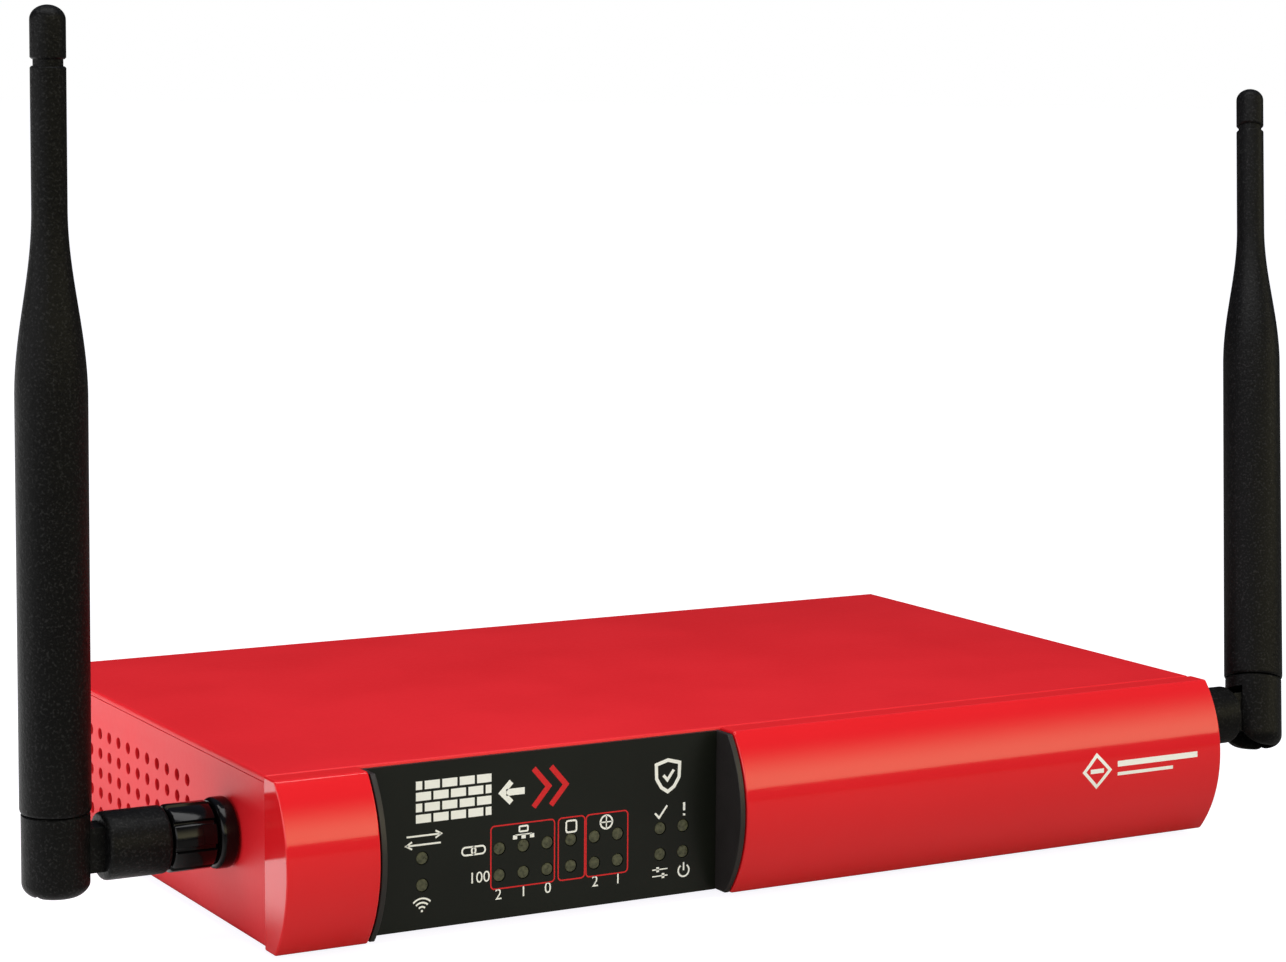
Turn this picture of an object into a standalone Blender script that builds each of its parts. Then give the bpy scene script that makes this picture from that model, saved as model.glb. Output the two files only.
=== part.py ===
"""Wireless firewall appliance: a flat sheet-metal case with a curved plastic bezel, a printed status
panel, a router board with its rear sockets, and a hinged stub antenna on each side.

Metres, +X right, +Y to the rear, +Z up. The origin is the centre of the case's underside.
"""

import math

import bmesh
import bpy
from mathutils import Matrix, Vector

# Case
CASE_WIDTH = 0.212
CASE_DEPTH = 0.122
CASE_HEIGHT = 0.0322
SHEET = 0.001
LID_THICKNESS = 0.0012
GAP = 0.0003
THIN_GAP = 0.00005
LEFT, RIGHT = -CASE_WIDTH / 2, CASE_WIDTH / 2
FRONT, REAR = -CASE_DEPTH / 2, CASE_DEPTH / 2
WALL_TOP = CASE_HEIGHT - LID_THICKNESS - GAP
PAST = 0.01  # how far a cutter runs past what it cuts
WALL_CUT = 0.003  # the same on either side of a thin wall
LID_SCREW_X, LID_SCREW_Z, LID_SCREW_HEAD = 0.098, 0.027, 0.0028
SCREW_HOLE, SCREW_SHANK = 0.0016, 0.0012
LOCK_LOW, LOCK_HIGH = (0.0495, 0.0035), (0.0565, 0.0065)  # lock slots in the side walls, as (y, z)
FLANGE_LOW, REAR_FLANGE_LOW, REAR_FLANGE_HALF = 0.0256, 0.0225, 0.102

# Side vents
VENT_RADIUS = 0.00115
VENT_COLUMNS, VENT_ROWS = 14, 5
VENT_PITCH_Y, VENT_PITCH_Z = 0.0054, 0.00413
VENT_FIRST_Y, VENT_TOP_Z = FRONT + 0.0385, 0.0238

# Bezel: one arc in side view, from the front edge of the lid to the front edge of the tray
BEZEL_HALF = 0.1064
BEZEL_RADIUS = 0.0252
BEZEL_REACH = 0.01075
BEZEL_MID_Z = 0.0163
BEZEL_WALL = 0.002
SPIGOT_HALF, SPIGOT_LOW, SPIGOT_HIGH = 0.1046, 0.0013, 0.0304
SPIGOT_DEPTH = 0.0042
SPIGOT_WALL = 0.0016
HOLLOW_HALF, HOLLOW_BACK = 0.1026, 0.0023

# Status panel, set back between two cheeks
PANEL_LEFT, PANEL_RIGHT = -0.088, -0.0106
CHEEK = 0.0011
PANEL_FACE = FRONT - 0.0012
FILM = 0.0002
INSERT_LOW, INSERT_HIGH = 0.0002, CASE_HEIGHT - 0.0005
BACKING_LOW, BACKING_HIGH = 0.0016, 0.0302
WINDOW_LOW, WINDOW_HIGH = (-0.080, 0.0045), (-0.014, 0.027)  # opening behind the panel, as (x, z)
GUIDE_LOW, GUIDE_HIGH = (-0.0785, 0.0055), (-0.0155, 0.0165)  # light guide, as (x, z)
LAMP_RADIUS = 0.0012
LAMP_PITCH = 0.00508
LAMP_ROWS = (0.0137, 0.00857)
LAMP_COLUMNS = (-0.0753, *(-0.0593 + LAMP_PITCH * i for i in range(6)), -0.0245, -0.0245 + LAMP_PITCH)

# Board and what stands on it
BOARD_HALF = 0.098
BOARD_FRONT, BOARD_REAR = FRONT + 0.0065, REAR - 0.0035
BOARD_LOW, BOARD_TOP = 0.005, 0.0066
PARTS_Z = BOARD_TOP + GAP
BOARD_FIXINGS = [(x, y) for y in (-0.048, 0.030) for x in (-0.090, 0.090)]
BOSS_RADIUS, BOSS_BORE, BOARD_SCREW_HEAD = 0.003, 0.0015, 0.0026

# Rear sockets, named as the lamps are, from left to right seen from the front
JACKS = {"lan_2": -0.072, "lan_1": -0.055, "lan_0": -0.038, "opt": -0.017, "wan_2": 0.004, "wan_1": 0.021}
JACK_WIDTH, JACK_HEIGHT, JACK_DEPTH = 0.0159, 0.0134, 0.018
RESET_X, RESET_Z = 0.038, 0.012
SERIAL_X, SERIAL_Z = 0.060, 0.0140
JACKSCREW_SPACING, JACKSCREW_HOLE = 0.025, 0.0017
POWER_X, POWER_WIDTH, POWER_HEIGHT, POWER_DEPTH = 0.090, 0.009, 0.011, 0.014

# Antennas, along the outward axis of their panel connectors
AERIAL_Y, AERIAL_Z = FRONT + 0.0176, 0.0183
PIVOT_REACH = 0.0333
COLLAR_RADIUS, NUT_RADIUS, BARREL_RADIUS = 0.0067, 0.0063, 0.0063
THREAD_RADIUS = 0.0031
SLEEVE_RADIUS, MAST_RADIUS, NECK_RADIUS = 0.0062, 0.00645, 0.00315
SHOULDER = 0.0082
TONGUE_HALF, TONGUE_END = 0.0027, 0.0042
PIN_RADIUS, PIN_HOLE, PIN_HALF = 0.0011, 0.0014, 0.0052
SLEEVE_TOP = 0.0072
SPIGOT_RADIUS, SPIGOT_LENGTH = 0.0040, 0.004
FLARE_LOW, FLARE_HIGH = 0.082, 0.1155
MAST_TOP, CAP_LOW, CAP_TOP = 0.1403, 0.1415, 0.1509
LEFT_SWIVEL, RIGHT_SWIVEL = math.radians(-1.0), math.radians(-19.9)
LEFT_LEAN, RIGHT_LEAN = 0.0, math.radians(13.7)

FOOT_RADIUS, FOOT_HEIGHT = 0.0055, 0.0015
FOOT_X, FOOT_Y = 0.088, 0.044
LABEL_HALF_X, LABEL_HALF_Y = 0.030, 0.020


def clear_scene():
    for obj in list(bpy.data.objects):
        bpy.data.objects.remove(obj, do_unlink=True)


def finish(name, color, roughness, metallic=0.0):
    """A Principled material."""
    made = bpy.data.materials.new(name)
    made.use_nodes = True
    shader = made.node_tree.nodes["Principled BSDF"]
    shader.inputs["Base Color"].default_value = (*color, 1)
    shader.inputs["Roughness"].default_value = roughness
    shader.inputs["Metallic"].default_value = metallic
    return made


# Shapes, each added to a bmesh


def box(shape, low, high):
    size = Vector(high) - Vector(low)
    place = Matrix.Translation((Vector(low) + Vector(high)) / 2) @ Matrix.Diagonal((*size, 1))
    bmesh.ops.create_cube(shape, size=1, matrix=place)


def rod(shape, start, end, radius, sides=16):
    """A cylinder between two points."""
    start, end = Vector(start), Vector(end)
    turn = (end - start).to_track_quat("Z", "Y").to_matrix().to_4x4()
    place = Matrix.Translation((start + end) / 2) @ turn
    length = (end - start).length
    bmesh.ops.create_cone(
        shape, cap_ends=True, segments=sides, radius1=radius, radius2=radius, depth=length, matrix=place
    )


def prism(shape, outline, axis, start, end):
    """An outline pushed along an axis. Its points hold the two other coordinates, in X, Y, Z order."""
    put = {
        "X": lambda a, b, along: (along, a, b),
        "Y": lambda a, b, along: (a, along, b),
        "Z": lambda a, b, along: (a, b, along),
    }[axis]
    base = shape.faces.new([shape.verts.new(put(a, b, start)) for a, b in outline])
    pushed = bmesh.ops.extrude_face_region(shape, geom=[base])
    travel = Vector(put(0, 0, end)) - Vector(put(0, 0, start))
    new_points = [item for item in pushed["geom"] if isinstance(item, bmesh.types.BMVert)]
    bmesh.ops.translate(shape, verts=new_points, vec=travel)
    bmesh.ops.recalc_face_normals(shape, faces=shape.faces[:])


def turned(shape, profile, sides, axis="Z"):
    """A closed profile of (radius, height) points turned about an axis through the origin."""
    rings = []
    for radius, height in profile:
        if radius == 0:
            rings.append([shape.verts.new((0, 0, height))])
            continue
        angles = [2 * math.pi * i / sides for i in range(sides)]
        rings.append([shape.verts.new((radius * math.cos(a), radius * math.sin(a), height)) for a in angles])
    for lower, upper in zip(rings, rings[1:] + rings[:1]):
        for i in range(sides):
            ends = [lower[i % len(lower)], lower[(i + 1) % len(lower)]]
            ends += [upper[(i + 1) % len(upper)], upper[i % len(upper)]]
            corners = list(dict.fromkeys(ends))
            if len(corners) > 2:
                shape.faces.new(corners)
    bmesh.ops.recalc_face_normals(shape, faces=shape.faces[:])
    if axis == "X":
        bmesh.ops.rotate(shape, verts=shape.verts[:], matrix=Matrix.Rotation(math.pi / 2, 3, "Y"))


def arc(centre, radius, start, end, steps):
    """Points of an arc between two angles in degrees."""
    found = []
    for i in range(steps + 1):
        angle = math.radians(start + (end - start) * i / steps)
        found.append((centre[0] + radius * math.cos(angle), centre[1] + radius * math.sin(angle)))
    return found


# Objects


def piece(name, shape, material, parent=None, smooth=False):
    """The bmesh as a named object with its own material."""
    mesh = bpy.data.meshes.new(name)
    shape.to_mesh(mesh)
    shape.free()
    mesh.materials.append(material)
    if smooth:
        mesh.shade_smooth()
        mesh.set_sharp_from_angle(angle=math.radians(35))
    made = bpy.data.objects.new(name, mesh)
    bpy.context.scene.collection.objects.link(made)
    made.parent = parent
    return made


def helper(shape, parent=None):
    """A hidden tool for a Boolean."""
    mesh = bpy.data.meshes.new("tool")
    shape.to_mesh(mesh)
    shape.free()
    made = bpy.data.objects.new("tool", mesh)
    bpy.context.scene.collection.objects.link(made)
    made.parent = parent
    made.hide_render = True
    made.display_type = "WIRE"
    return made


def combine(target, operation, shape):
    """Cuts the shape from the target, or joins it to it, in the target's own space."""
    modifier = target.modifiers.new(operation.lower(), "BOOLEAN")
    modifier.operation = operation
    modifier.solver = "EXACT"
    modifier.object = helper(shape, target.parent)


def solid_box(name, low, high, material, parent=None):
    shape = bmesh.new()
    box(shape, low, high)
    return piece(name, shape, material, parent)


# Case


def make_tray(red):
    """Base tray: floor, two side walls and rear wall folded from one sheet, with bosses for the board."""
    shape = bmesh.new()
    box(shape, (LEFT, FRONT + GAP / 2, 0), (RIGHT, REAR, WALL_TOP))
    tray = piece("base_tray", shape, red)
    inside = bmesh.new()
    box(inside, (LEFT + SHEET, FRONT - PAST, SHEET), (RIGHT - SHEET, REAR - SHEET, WALL_TOP + PAST))
    combine(tray, "DIFFERENCE", inside)
    bosses = bmesh.new()
    for x, y in BOARD_FIXINGS:
        rod(bosses, (x, y, SHEET / 2), (x, y, BOARD_LOW - GAP), BOSS_RADIUS, 12)
    combine(tray, "UNION", bosses)
    combine(tray, "DIFFERENCE", tray_holes())
    combine(tray, "DIFFERENCE", vent_holes())


def tray_holes():
    """Boss bores, the sockets' cut-outs, screw holes, aerial holes and a lock slot in each side."""
    holes = bmesh.new()
    for x, y in BOARD_FIXINGS:
        rod(holes, (x, y, SHEET + BOSS_BORE), (x, y, BOARD_LOW + SHEET), BOSS_BORE, 8)
    back = (REAR - WALL_CUT, REAR + WALL_CUT)
    rim = GAP
    for x in JACKS.values():
        half = JACK_WIDTH / 2 + rim
        box(holes, (x - half, back[0], PARTS_Z - rim), (x + half, back[1], PARTS_Z + JACK_HEIGHT + rim))
    half = POWER_WIDTH / 2 + rim
    top = PARTS_Z + POWER_HEIGHT + rim
    box(holes, (POWER_X - half, back[0], PARTS_Z - rim), (POWER_X + half, back[1], top))
    rod(holes, (RESET_X, back[0], RESET_Z), (RESET_X, back[1], RESET_Z), SCREW_HOLE, 12)
    prism(holes, d_outline(rim), "Y", *back)
    for side in (-1, 1):
        x = SERIAL_X + side * JACKSCREW_SPACING / 2
        rod(holes, (x, back[0], SERIAL_Z), (x, back[1], SERIAL_Z), JACKSCREW_HOLE, 8)
        x = side * LID_SCREW_X
        rod(holes, (x, back[0], LID_SCREW_Z), (x, back[1], LID_SCREW_Z), SCREW_HOLE, 8)
        wall = (side * (RIGHT - WALL_CUT), side * (RIGHT + WALL_CUT))
        rod(holes, (wall[0], AERIAL_Y, AERIAL_Z), (wall[1], AERIAL_Y, AERIAL_Z), THREAD_RADIUS + GAP, 16)
        box(holes, (min(wall), *LOCK_LOW), (max(wall), *LOCK_HIGH))
    return holes


def vent_holes():
    holes = bmesh.new()
    for side in (-1, 1):
        for column in range(VENT_COLUMNS):
            for row in range(VENT_ROWS):
                y = VENT_FIRST_Y + VENT_PITCH_Y * column
                z = VENT_TOP_Z - VENT_PITCH_Z * row
                start = (side * (RIGHT - WALL_CUT), y, z)
                rod(holes, start, (side * (RIGHT + WALL_CUT), y, z), VENT_RADIUS, 6)
    return holes


def make_lid(red):
    """Lid: a flat plate over the walls, with flanges turned down inside them."""
    shape = bmesh.new()
    box(shape, (LEFT, FRONT + GAP / 2, CASE_HEIGHT - LID_THICKNESS), (RIGHT, REAR, CASE_HEIGHT))
    upper = [edge for edge in shape.edges if all(v.co.z > CASE_HEIGHT - THIN_GAP for v in edge.verts)]
    bmesh.ops.bevel(shape, geom=upper, offset=0.0006, segments=2, profile=0.5, affect="EDGES")
    lid = piece("top_lid", shape, red)
    flanges = bmesh.new()
    top = CASE_HEIGHT - LID_THICKNESS / 2
    inner = RIGHT - SHEET - GAP
    for side in (-1, 1):
        ends = sorted((side * inner, side * (inner - SHEET)))
        box(flanges, (ends[0], FRONT + 0.010, FLANGE_LOW), (ends[1], REAR - 0.006, top))
    back = REAR - SHEET - GAP
    box(flanges, (-REAR_FLANGE_HALF, back - SHEET, REAR_FLANGE_LOW), (REAR_FLANGE_HALF, back, top))
    combine(lid, "UNION", flanges)
    holes = bmesh.new()
    for x in (-LID_SCREW_X, LID_SCREW_X):
        rod(holes, (x, back - WALL_CUT, LID_SCREW_Z), (x, back + SHEET, LID_SCREW_Z), SCREW_HOLE, 8)
    combine(lid, "DIFFERENCE", holes)


def bezel_outline(inset, low, high, back, steps=14):
    """The bezel's side view as (y, z) points: the front arc between two heights, and a straight back."""
    centre_y = FRONT - BEZEL_REACH + BEZEL_RADIUS
    radius = BEZEL_RADIUS - inset
    first = 180 + math.degrees(math.asin((BEZEL_MID_Z - low) / radius))
    last = 180 - math.degrees(math.asin((high - BEZEL_MID_Z) / radius))
    points = [(back, high)]
    points += reversed(arc((centre_y, BEZEL_MID_Z), radius, first, last, steps))
    points.append((back, low))
    return points


def make_bezel(red):
    """Bezel: a hollow moulding, open behind the status panel, with a spigot into the case."""
    shape = bmesh.new()
    prism(shape, bezel_outline(0, 0.0, CASE_HEIGHT, FRONT - GAP / 2), "X", -BEZEL_HALF, BEZEL_HALF)
    bezel = piece("front_bezel", shape, red)
    spigot = bmesh.new()
    front, back = FRONT - BEZEL_WALL, FRONT + SPIGOT_DEPTH
    box(spigot, (-SPIGOT_HALF, front, SPIGOT_LOW), (SPIGOT_HALF, back, SPIGOT_HIGH))
    combine(bezel, "UNION", spigot)
    hollow = bmesh.new()
    low, high = SPIGOT_LOW + SPIGOT_WALL, SPIGOT_HIGH - SPIGOT_WALL
    hollows = ((-HOLLOW_HALF, PANEL_LEFT - BEZEL_WALL), (PANEL_RIGHT + BEZEL_WALL, HOLLOW_HALF))
    for start, end in hollows:
        prism(hollow, bezel_outline(BEZEL_WALL, low, high, FRONT + PAST), "X", start, end)
    box(hollow, (PANEL_LEFT, FRONT - 2 * PAST, -PAST), (PANEL_RIGHT, FRONT + HOLLOW_BACK, CASE_HEIGHT + PAST))
    combine(bezel, "DIFFERENCE", hollow)
    window = bmesh.new()
    box(window, (WINDOW_LOW[0], FRONT, WINDOW_LOW[1]), (WINDOW_HIGH[0], FRONT + PAST, WINDOW_HIGH[1]))
    combine(bezel, "DIFFERENCE", window)


def make_insert(black):
    """Panel insert: a flat plate between two cheeks that follow the bezel's arc, bored for the lamps."""
    left, right = PANEL_LEFT + GAP, PANEL_RIGHT - GAP
    plate_front = PANEL_FACE + FILM + THIN_GAP
    shape = bmesh.new()
    prism(shape, bezel_outline(INSERT_LOW, INSERT_LOW, INSERT_HIGH, FRONT - GAP / 2), "X", left, right)
    insert = piece("panel_insert", shape, black)
    pocket = bmesh.new()
    box(pocket, (left + CHEEK, FRONT - 2 * PAST, -PAST), (right - CHEEK, plate_front, CASE_HEIGHT + PAST))
    combine(insert, "DIFFERENCE", pocket)
    backing = bmesh.new()
    front, back = plate_front + GAP, FRONT + BEZEL_WALL
    box(backing, (left + CHEEK, front, BACKING_LOW), (right - CHEEK, back, BACKING_HIGH))
    combine(insert, "UNION", backing)
    bores = bmesh.new()
    for x in LAMP_COLUMNS:
        for z in LAMP_ROWS:
            rod(bores, (x, FRONT - PAST, z), (x, FRONT + PAST, z), LAMP_RADIUS + GAP, 8)
    combine(insert, "DIFFERENCE", bores)


def make_film(black):
    """Panel film: a printed polyester sheet with a round window for each lamp."""
    shape = bmesh.new()
    side = CHEEK + GAP + THIN_GAP
    back = PANEL_FACE + FILM
    box(shape, (PANEL_LEFT + side, PANEL_FACE, INSERT_LOW), (PANEL_RIGHT - side, back, INSERT_HIGH))
    film = piece("panel_film", shape, black)
    windows = bmesh.new()
    radius = LAMP_RADIUS + THIN_GAP * 2
    for x in LAMP_COLUMNS:
        for z in LAMP_ROWS:
            rod(windows, (x, PANEL_FACE - FILM, z), (x, PANEL_FACE + 2 * FILM, z), radius, 8)
    combine(film, "DIFFERENCE", windows)


def make_light_guide(clear):
    """Light guide: a clear bar behind the panel, with a pin to each window."""
    shape = bmesh.new()
    front, back = FRONT + HOLLOW_BACK, FRONT + 0.005
    box(shape, (GUIDE_LOW[0], front, GUIDE_LOW[1]), (GUIDE_HIGH[0], back, GUIDE_HIGH[1]))
    guide = piece("light_guide", shape, clear)
    pins = bmesh.new()
    for x in LAMP_COLUMNS:
        for z in LAMP_ROWS:
            rod(pins, (x, PANEL_FACE + THIN_GAP, z), (x, (front + back) / 2, z), LAMP_RADIUS, 8)
    combine(guide, "UNION", pins)


# Board and sockets


def make_board(green):
    shape = bmesh.new()
    box(shape, (-BOARD_HALF, BOARD_FRONT, BOARD_LOW), (BOARD_HALF, BOARD_REAR, BOARD_TOP))
    board = piece("main_board", shape, green)
    holes = bmesh.new()
    for x, y in BOARD_FIXINGS:
        rod(holes, (x, y, BOARD_LOW - WALL_CUT), (x, y, BOARD_TOP + WALL_CUT), SCREW_HOLE, 8)
    combine(board, "DIFFERENCE", holes)


def make_network_jack(name, x, metal):
    """Eight-way modular jack: a metal can with a stepped socket for the plug and its latch."""
    face = REAR + GAP
    shape = bmesh.new()
    half = JACK_WIDTH / 2
    box(shape, (x - half, face - JACK_DEPTH, PARTS_Z), (x + half, face, PARTS_Z + JACK_HEIGHT))
    jack = piece(f"network_jack_{name}", shape, metal)
    floor, shelf, roof = (PARTS_Z + rise for rise in (0.0024, 0.0094, 0.0113))
    plug, latch, depth = 0.0059, 0.0032, 0.0125
    outline = [(x - plug, floor), (x + plug, floor), (x + plug, shelf), (x + latch, shelf)]
    outline += [(x + latch, roof), (x - latch, roof), (x - latch, shelf), (x - plug, shelf)]
    socket = bmesh.new()
    prism(socket, outline, "Y", face - depth, face + PAST)
    combine(jack, "DIFFERENCE", socket)


def d_outline(grow):
    """The nine-way D shape, wider at the top, as (x, z) points."""
    wide, narrow, half = 0.0085 + grow, 0.0076 + grow, 0.0042 + grow
    low, high = SERIAL_Z - half, SERIAL_Z + half
    corners = ((-narrow, low), (narrow, low), (wide, high), (-wide, high))
    return [(SERIAL_X + x, z) for x, z in corners]


def make_serial_port(metal, steel):
    """Nine-way plug: a flange behind the rear wall, a D-shaped shroud through it and nine pins."""
    flange_back = REAR - SHEET - 0.0012
    shape = bmesh.new()
    low, high = SERIAL_Z - 0.0062, SERIAL_Z + 0.0062
    box(shape, (SERIAL_X - 0.0154, flange_back, low), (SERIAL_X + 0.0154, flange_back + 0.0008, high))
    port = piece("serial_port", shape, metal)
    shroud = bmesh.new()
    prism(shroud, d_outline(0), "Y", REAR - 0.012, REAR + 0.0045)
    combine(port, "UNION", shroud)
    hollow = bmesh.new()
    prism(hollow, d_outline(-0.0006), "Y", REAR - 0.0015, REAR + 0.01)
    combine(port, "DIFFERENCE", hollow)
    pins = bmesh.new()
    for row, count in ((0.0014, 5), (-0.0014, 4)):
        for i in range(count):
            x = SERIAL_X + (i - (count - 1) / 2) * 0.00277
            rod(pins, (x, REAR - 0.003, SERIAL_Z + row), (x, REAR + 0.0035, SERIAL_Z + row), 0.0005, 6)
    combine(port, "UNION", pins)
    holes = bmesh.new()
    for side in (-1, 1):
        x = SERIAL_X + side * JACKSCREW_SPACING / 2
        rod(holes, (x, flange_back - WALL_CUT, SERIAL_Z), (x, REAR, SERIAL_Z), JACKSCREW_HOLE, 8)
        screw = bmesh.new()
        rod(screw, (x, REAR + GAP, SERIAL_Z), (x, REAR + 0.0049, SERIAL_Z), 0.0026, 6)
        jackscrew = piece(f"jackscrew_{'left' if side < 0 else 'right'}", screw, steel)
        shank = bmesh.new()
        rod(shank, (x, REAR - 0.005, SERIAL_Z), (x, REAR + 0.001, SERIAL_Z), 0.0013, 8)
        combine(jackscrew, "UNION", shank)
    combine(port, "DIFFERENCE", holes)


def make_power_jack(black):
    """Direct-current inlet: a moulded block with a round socket about a centre pin."""
    face = REAR + GAP
    middle = PARTS_Z + 0.0062
    shape = bmesh.new()
    half = POWER_WIDTH / 2
    box(shape, (POWER_X - half, face - POWER_DEPTH, PARTS_Z), (POWER_X + half, face, PARTS_Z + POWER_HEIGHT))
    jack = piece("power_jack", shape, black)
    socket = bmesh.new()
    rod(socket, (POWER_X, face - 0.0095, middle), (POWER_X, face + 0.002, middle), 0.0032, 16)
    combine(jack, "DIFFERENCE", socket)
    pin = bmesh.new()
    rod(pin, (POWER_X, face - 0.011, middle), (POWER_X, face - 0.001, middle), 0.001, 8)
    combine(jack, "UNION", pin)


def make_reset(black, pale):
    """Reset: an upright switch on the board and its plunger, flush in a hole in the rear wall."""
    shape = bmesh.new()
    back = REAR - 0.0033
    box(shape, (RESET_X - 0.003, back - 0.004, PARTS_Z), (RESET_X + 0.003, back, RESET_Z + 0.003))
    switch = piece("reset_switch", shape, black)
    bore = bmesh.new()
    rod(bore, (RESET_X, back - 0.0022, RESET_Z), (RESET_X, back + 0.001, RESET_Z), 0.0016, 12)
    combine(switch, "DIFFERENCE", bore)
    axis = bpy.data.objects.new("reset_travel", None)
    bpy.context.scene.collection.objects.link(axis)
    axis.location = (RESET_X, REAR, RESET_Z)
    plunger = bmesh.new()
    rod(plunger, (0, -0.0046, 0), (0, -0.0004, 0), 0.0013, 12)
    piece("reset_button", plunger, pale, axis, smooth=True)


def make_components(black, metal, tan):
    """What stands on the board: processor, memory, switch, magnetics, capacitors and the wireless card."""
    top = PARTS_Z
    blocks = {
        "processor": ((0.019, -0.016, top), (0.041, 0.006, top + 0.0022)),
        "memory_chip": ((0.050, -0.012, top), (0.060, 0.008, top + 0.0012)),
        "flash_chip": ((0.050, -0.040, top), (0.070, -0.028, top + 0.0012)),
        "switch_chip": ((-0.028, 0.004, top), (-0.008, 0.024, top + 0.0016)),
        "magnetics_module": ((-0.062, 0.027, top), (0.014, 0.039, top + 0.006)),
        "card_socket": ((-0.077, -0.0075, top), (-0.013, -0.0005, top + 0.0036)),
    }
    for name, (low, high) in blocks.items():
        solid_box(name, low, high, black)
    card = top + 0.0036 + GAP
    solid_box("wireless_card", (-0.075, -0.0475, card), (-0.015, -0.0015, card + 0.001), tan)
    shield = card + 0.001 + GAP
    solid_box("card_shield", (-0.062, -0.038, shield), (-0.028, -0.010, shield + 0.0028), metal)
    make_heat_sink(top + 0.0022 + GAP, metal)
    for number, x in enumerate((0.072, 0.084), start=1):
        shape = bmesh.new()
        rod(shape, (x, 0.018, top), (x, 0.018, top + 0.0105), 0.004, 16)
        piece(f"capacitor_{number}", shape, black, smooth=True)


def make_heat_sink(low, metal):
    """Extruded sink: seven fins on a base, drawn as one comb-shaped outline."""
    middle, half, base, height, fins = 0.030, 0.0125, 0.0025, 0.011, 7
    pitch = 2 * half / (2 * fins - 1)
    outline = [(middle - half, low), (middle + half, low)]
    for fin in range(fins):
        right = middle + half - 2 * fin * pitch
        outline += [(right, low + height), (right - pitch, low + height)]
        if fin < fins - 1:
            outline += [(right - pitch, low + base), (right - 2 * pitch, low + base)]
    shape = bmesh.new()
    prism(shape, outline, "Y", -0.0175, 0.0075)
    piece("heat_sink", shape, metal)


def smooth_route(points, steps):
    """Points along a Catmull-Rom curve through the given ones."""
    points = [Vector(p) for p in points]
    padded = [2 * points[0] - points[1], *points, 2 * points[-1] - points[-2]]
    found = []
    for a, b, c, d in zip(padded, padded[1:], padded[2:], padded[3:]):
        for i in range(steps):
            t = i / steps
            square = (2 * a - 5 * b + 4 * c - d) * t**2
            cube = (3 * b - a - 3 * c + d) * t**3
            found.append(0.5 * (2 * b + (c - a) * t + square + cube))
    found.append(points[-1])
    return found


def make_pigtail(name, points, black):
    """Coaxial lead from the wireless card to a panel connector."""
    data = bpy.data.curves.new(name, "CURVE")
    data.dimensions = "3D"
    data.bevel_depth = 0.0006
    data.bevel_resolution = 2
    data.use_fill_caps = True
    data.materials.append(black)
    route = smooth_route(points, 4)
    spline = data.splines.new("POLY")
    spline.points.add(len(route) - 1)
    for place, point in zip(spline.points, route):
        place.co = (*point, 1)
    made = bpy.data.objects.new(name, data)
    bpy.context.scene.collection.objects.link(made)


def make_pigtails(black):
    """Each lead rises from the card, runs along the front of the board and enters its connector straight."""
    card = PARTS_Z + 0.0036 + GAP + 0.001 + GAP
    inner = RIGHT - 0.0095
    left = [(-0.067, -0.030, card + 0.001), (-0.070, -0.032, card + 0.004), (-0.078, -0.038, card + 0.006)]
    left += [(-0.087, AERIAL_Y, AERIAL_Z), (-inner + 0.001, AERIAL_Y, AERIAL_Z)]
    right = [(-0.021, -0.030, card + 0.001), (-0.018, -0.032, card + 0.004), (-0.004, -0.040, card + 0.005)]
    right += [(0.020, -0.044, 0.0155), (0.050, -0.0455, 0.0160), (0.076, -0.045, 0.0175)]
    right += [(0.087, AERIAL_Y, AERIAL_Z), (inner - 0.001, AERIAL_Y, AERIAL_Z)]
    make_pigtail("left_pigtail", left, black)
    make_pigtail("right_pigtail", right, black)


def make_fasteners(steel):
    for number, (x, y) in enumerate(BOARD_FIXINGS, start=1):
        shape = bmesh.new()
        rod(shape, (x, y, BOARD_TOP + THIN_GAP), (x, y, BOARD_TOP + 0.0016), BOARD_SCREW_HEAD, 12)
        screw = piece(f"board_screw_{number}", shape, steel)
        shank = bmesh.new()
        rod(shank, (x, y, SHEET + 0.0018), (x, y, BOARD_TOP + 0.0008), SCREW_SHANK, 8)
        combine(screw, "UNION", shank)
    for name, x in (("left", -LID_SCREW_X), ("right", LID_SCREW_X)):
        shape = bmesh.new()
        rod(shape, (x, REAR + THIN_GAP, LID_SCREW_Z), (x, REAR + 0.0016, LID_SCREW_Z), LID_SCREW_HEAD, 16)
        screw = piece(f"lid_screw_{name}", shape, steel)
        shank = bmesh.new()
        rod(shank, (x, REAR - 0.005, LID_SCREW_Z), (x, REAR + 0.0008, LID_SCREW_Z), SCREW_SHANK, 8)
        combine(screw, "UNION", shank)


def make_feet(rubber):
    for number, (x, y) in enumerate(((x, y) for y in (-FOOT_Y, FOOT_Y) for x in (-FOOT_X, FOOT_X)), start=1):
        shape = bmesh.new()
        profile = [(0, -FOOT_HEIGHT), (FOOT_RADIUS - 0.0006, -FOOT_HEIGHT)]
        profile += [(FOOT_RADIUS, -THIN_GAP), (0, -THIN_GAP)]
        turned(shape, profile, 20)
        foot = piece(f"foot_{number}", shape, rubber, smooth=True)
        foot.location = (x, y, 0)


def make_rating_label(silver):
    """Rating label: a blank polyester plate stuck under the middle of the tray."""
    low = (-LABEL_HALF_X, -LABEL_HALF_Y, -GAP)
    solid_box("rating_label", low, (LABEL_HALF_X, LABEL_HALF_Y, -THIN_GAP), silver)


# Antennas


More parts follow.
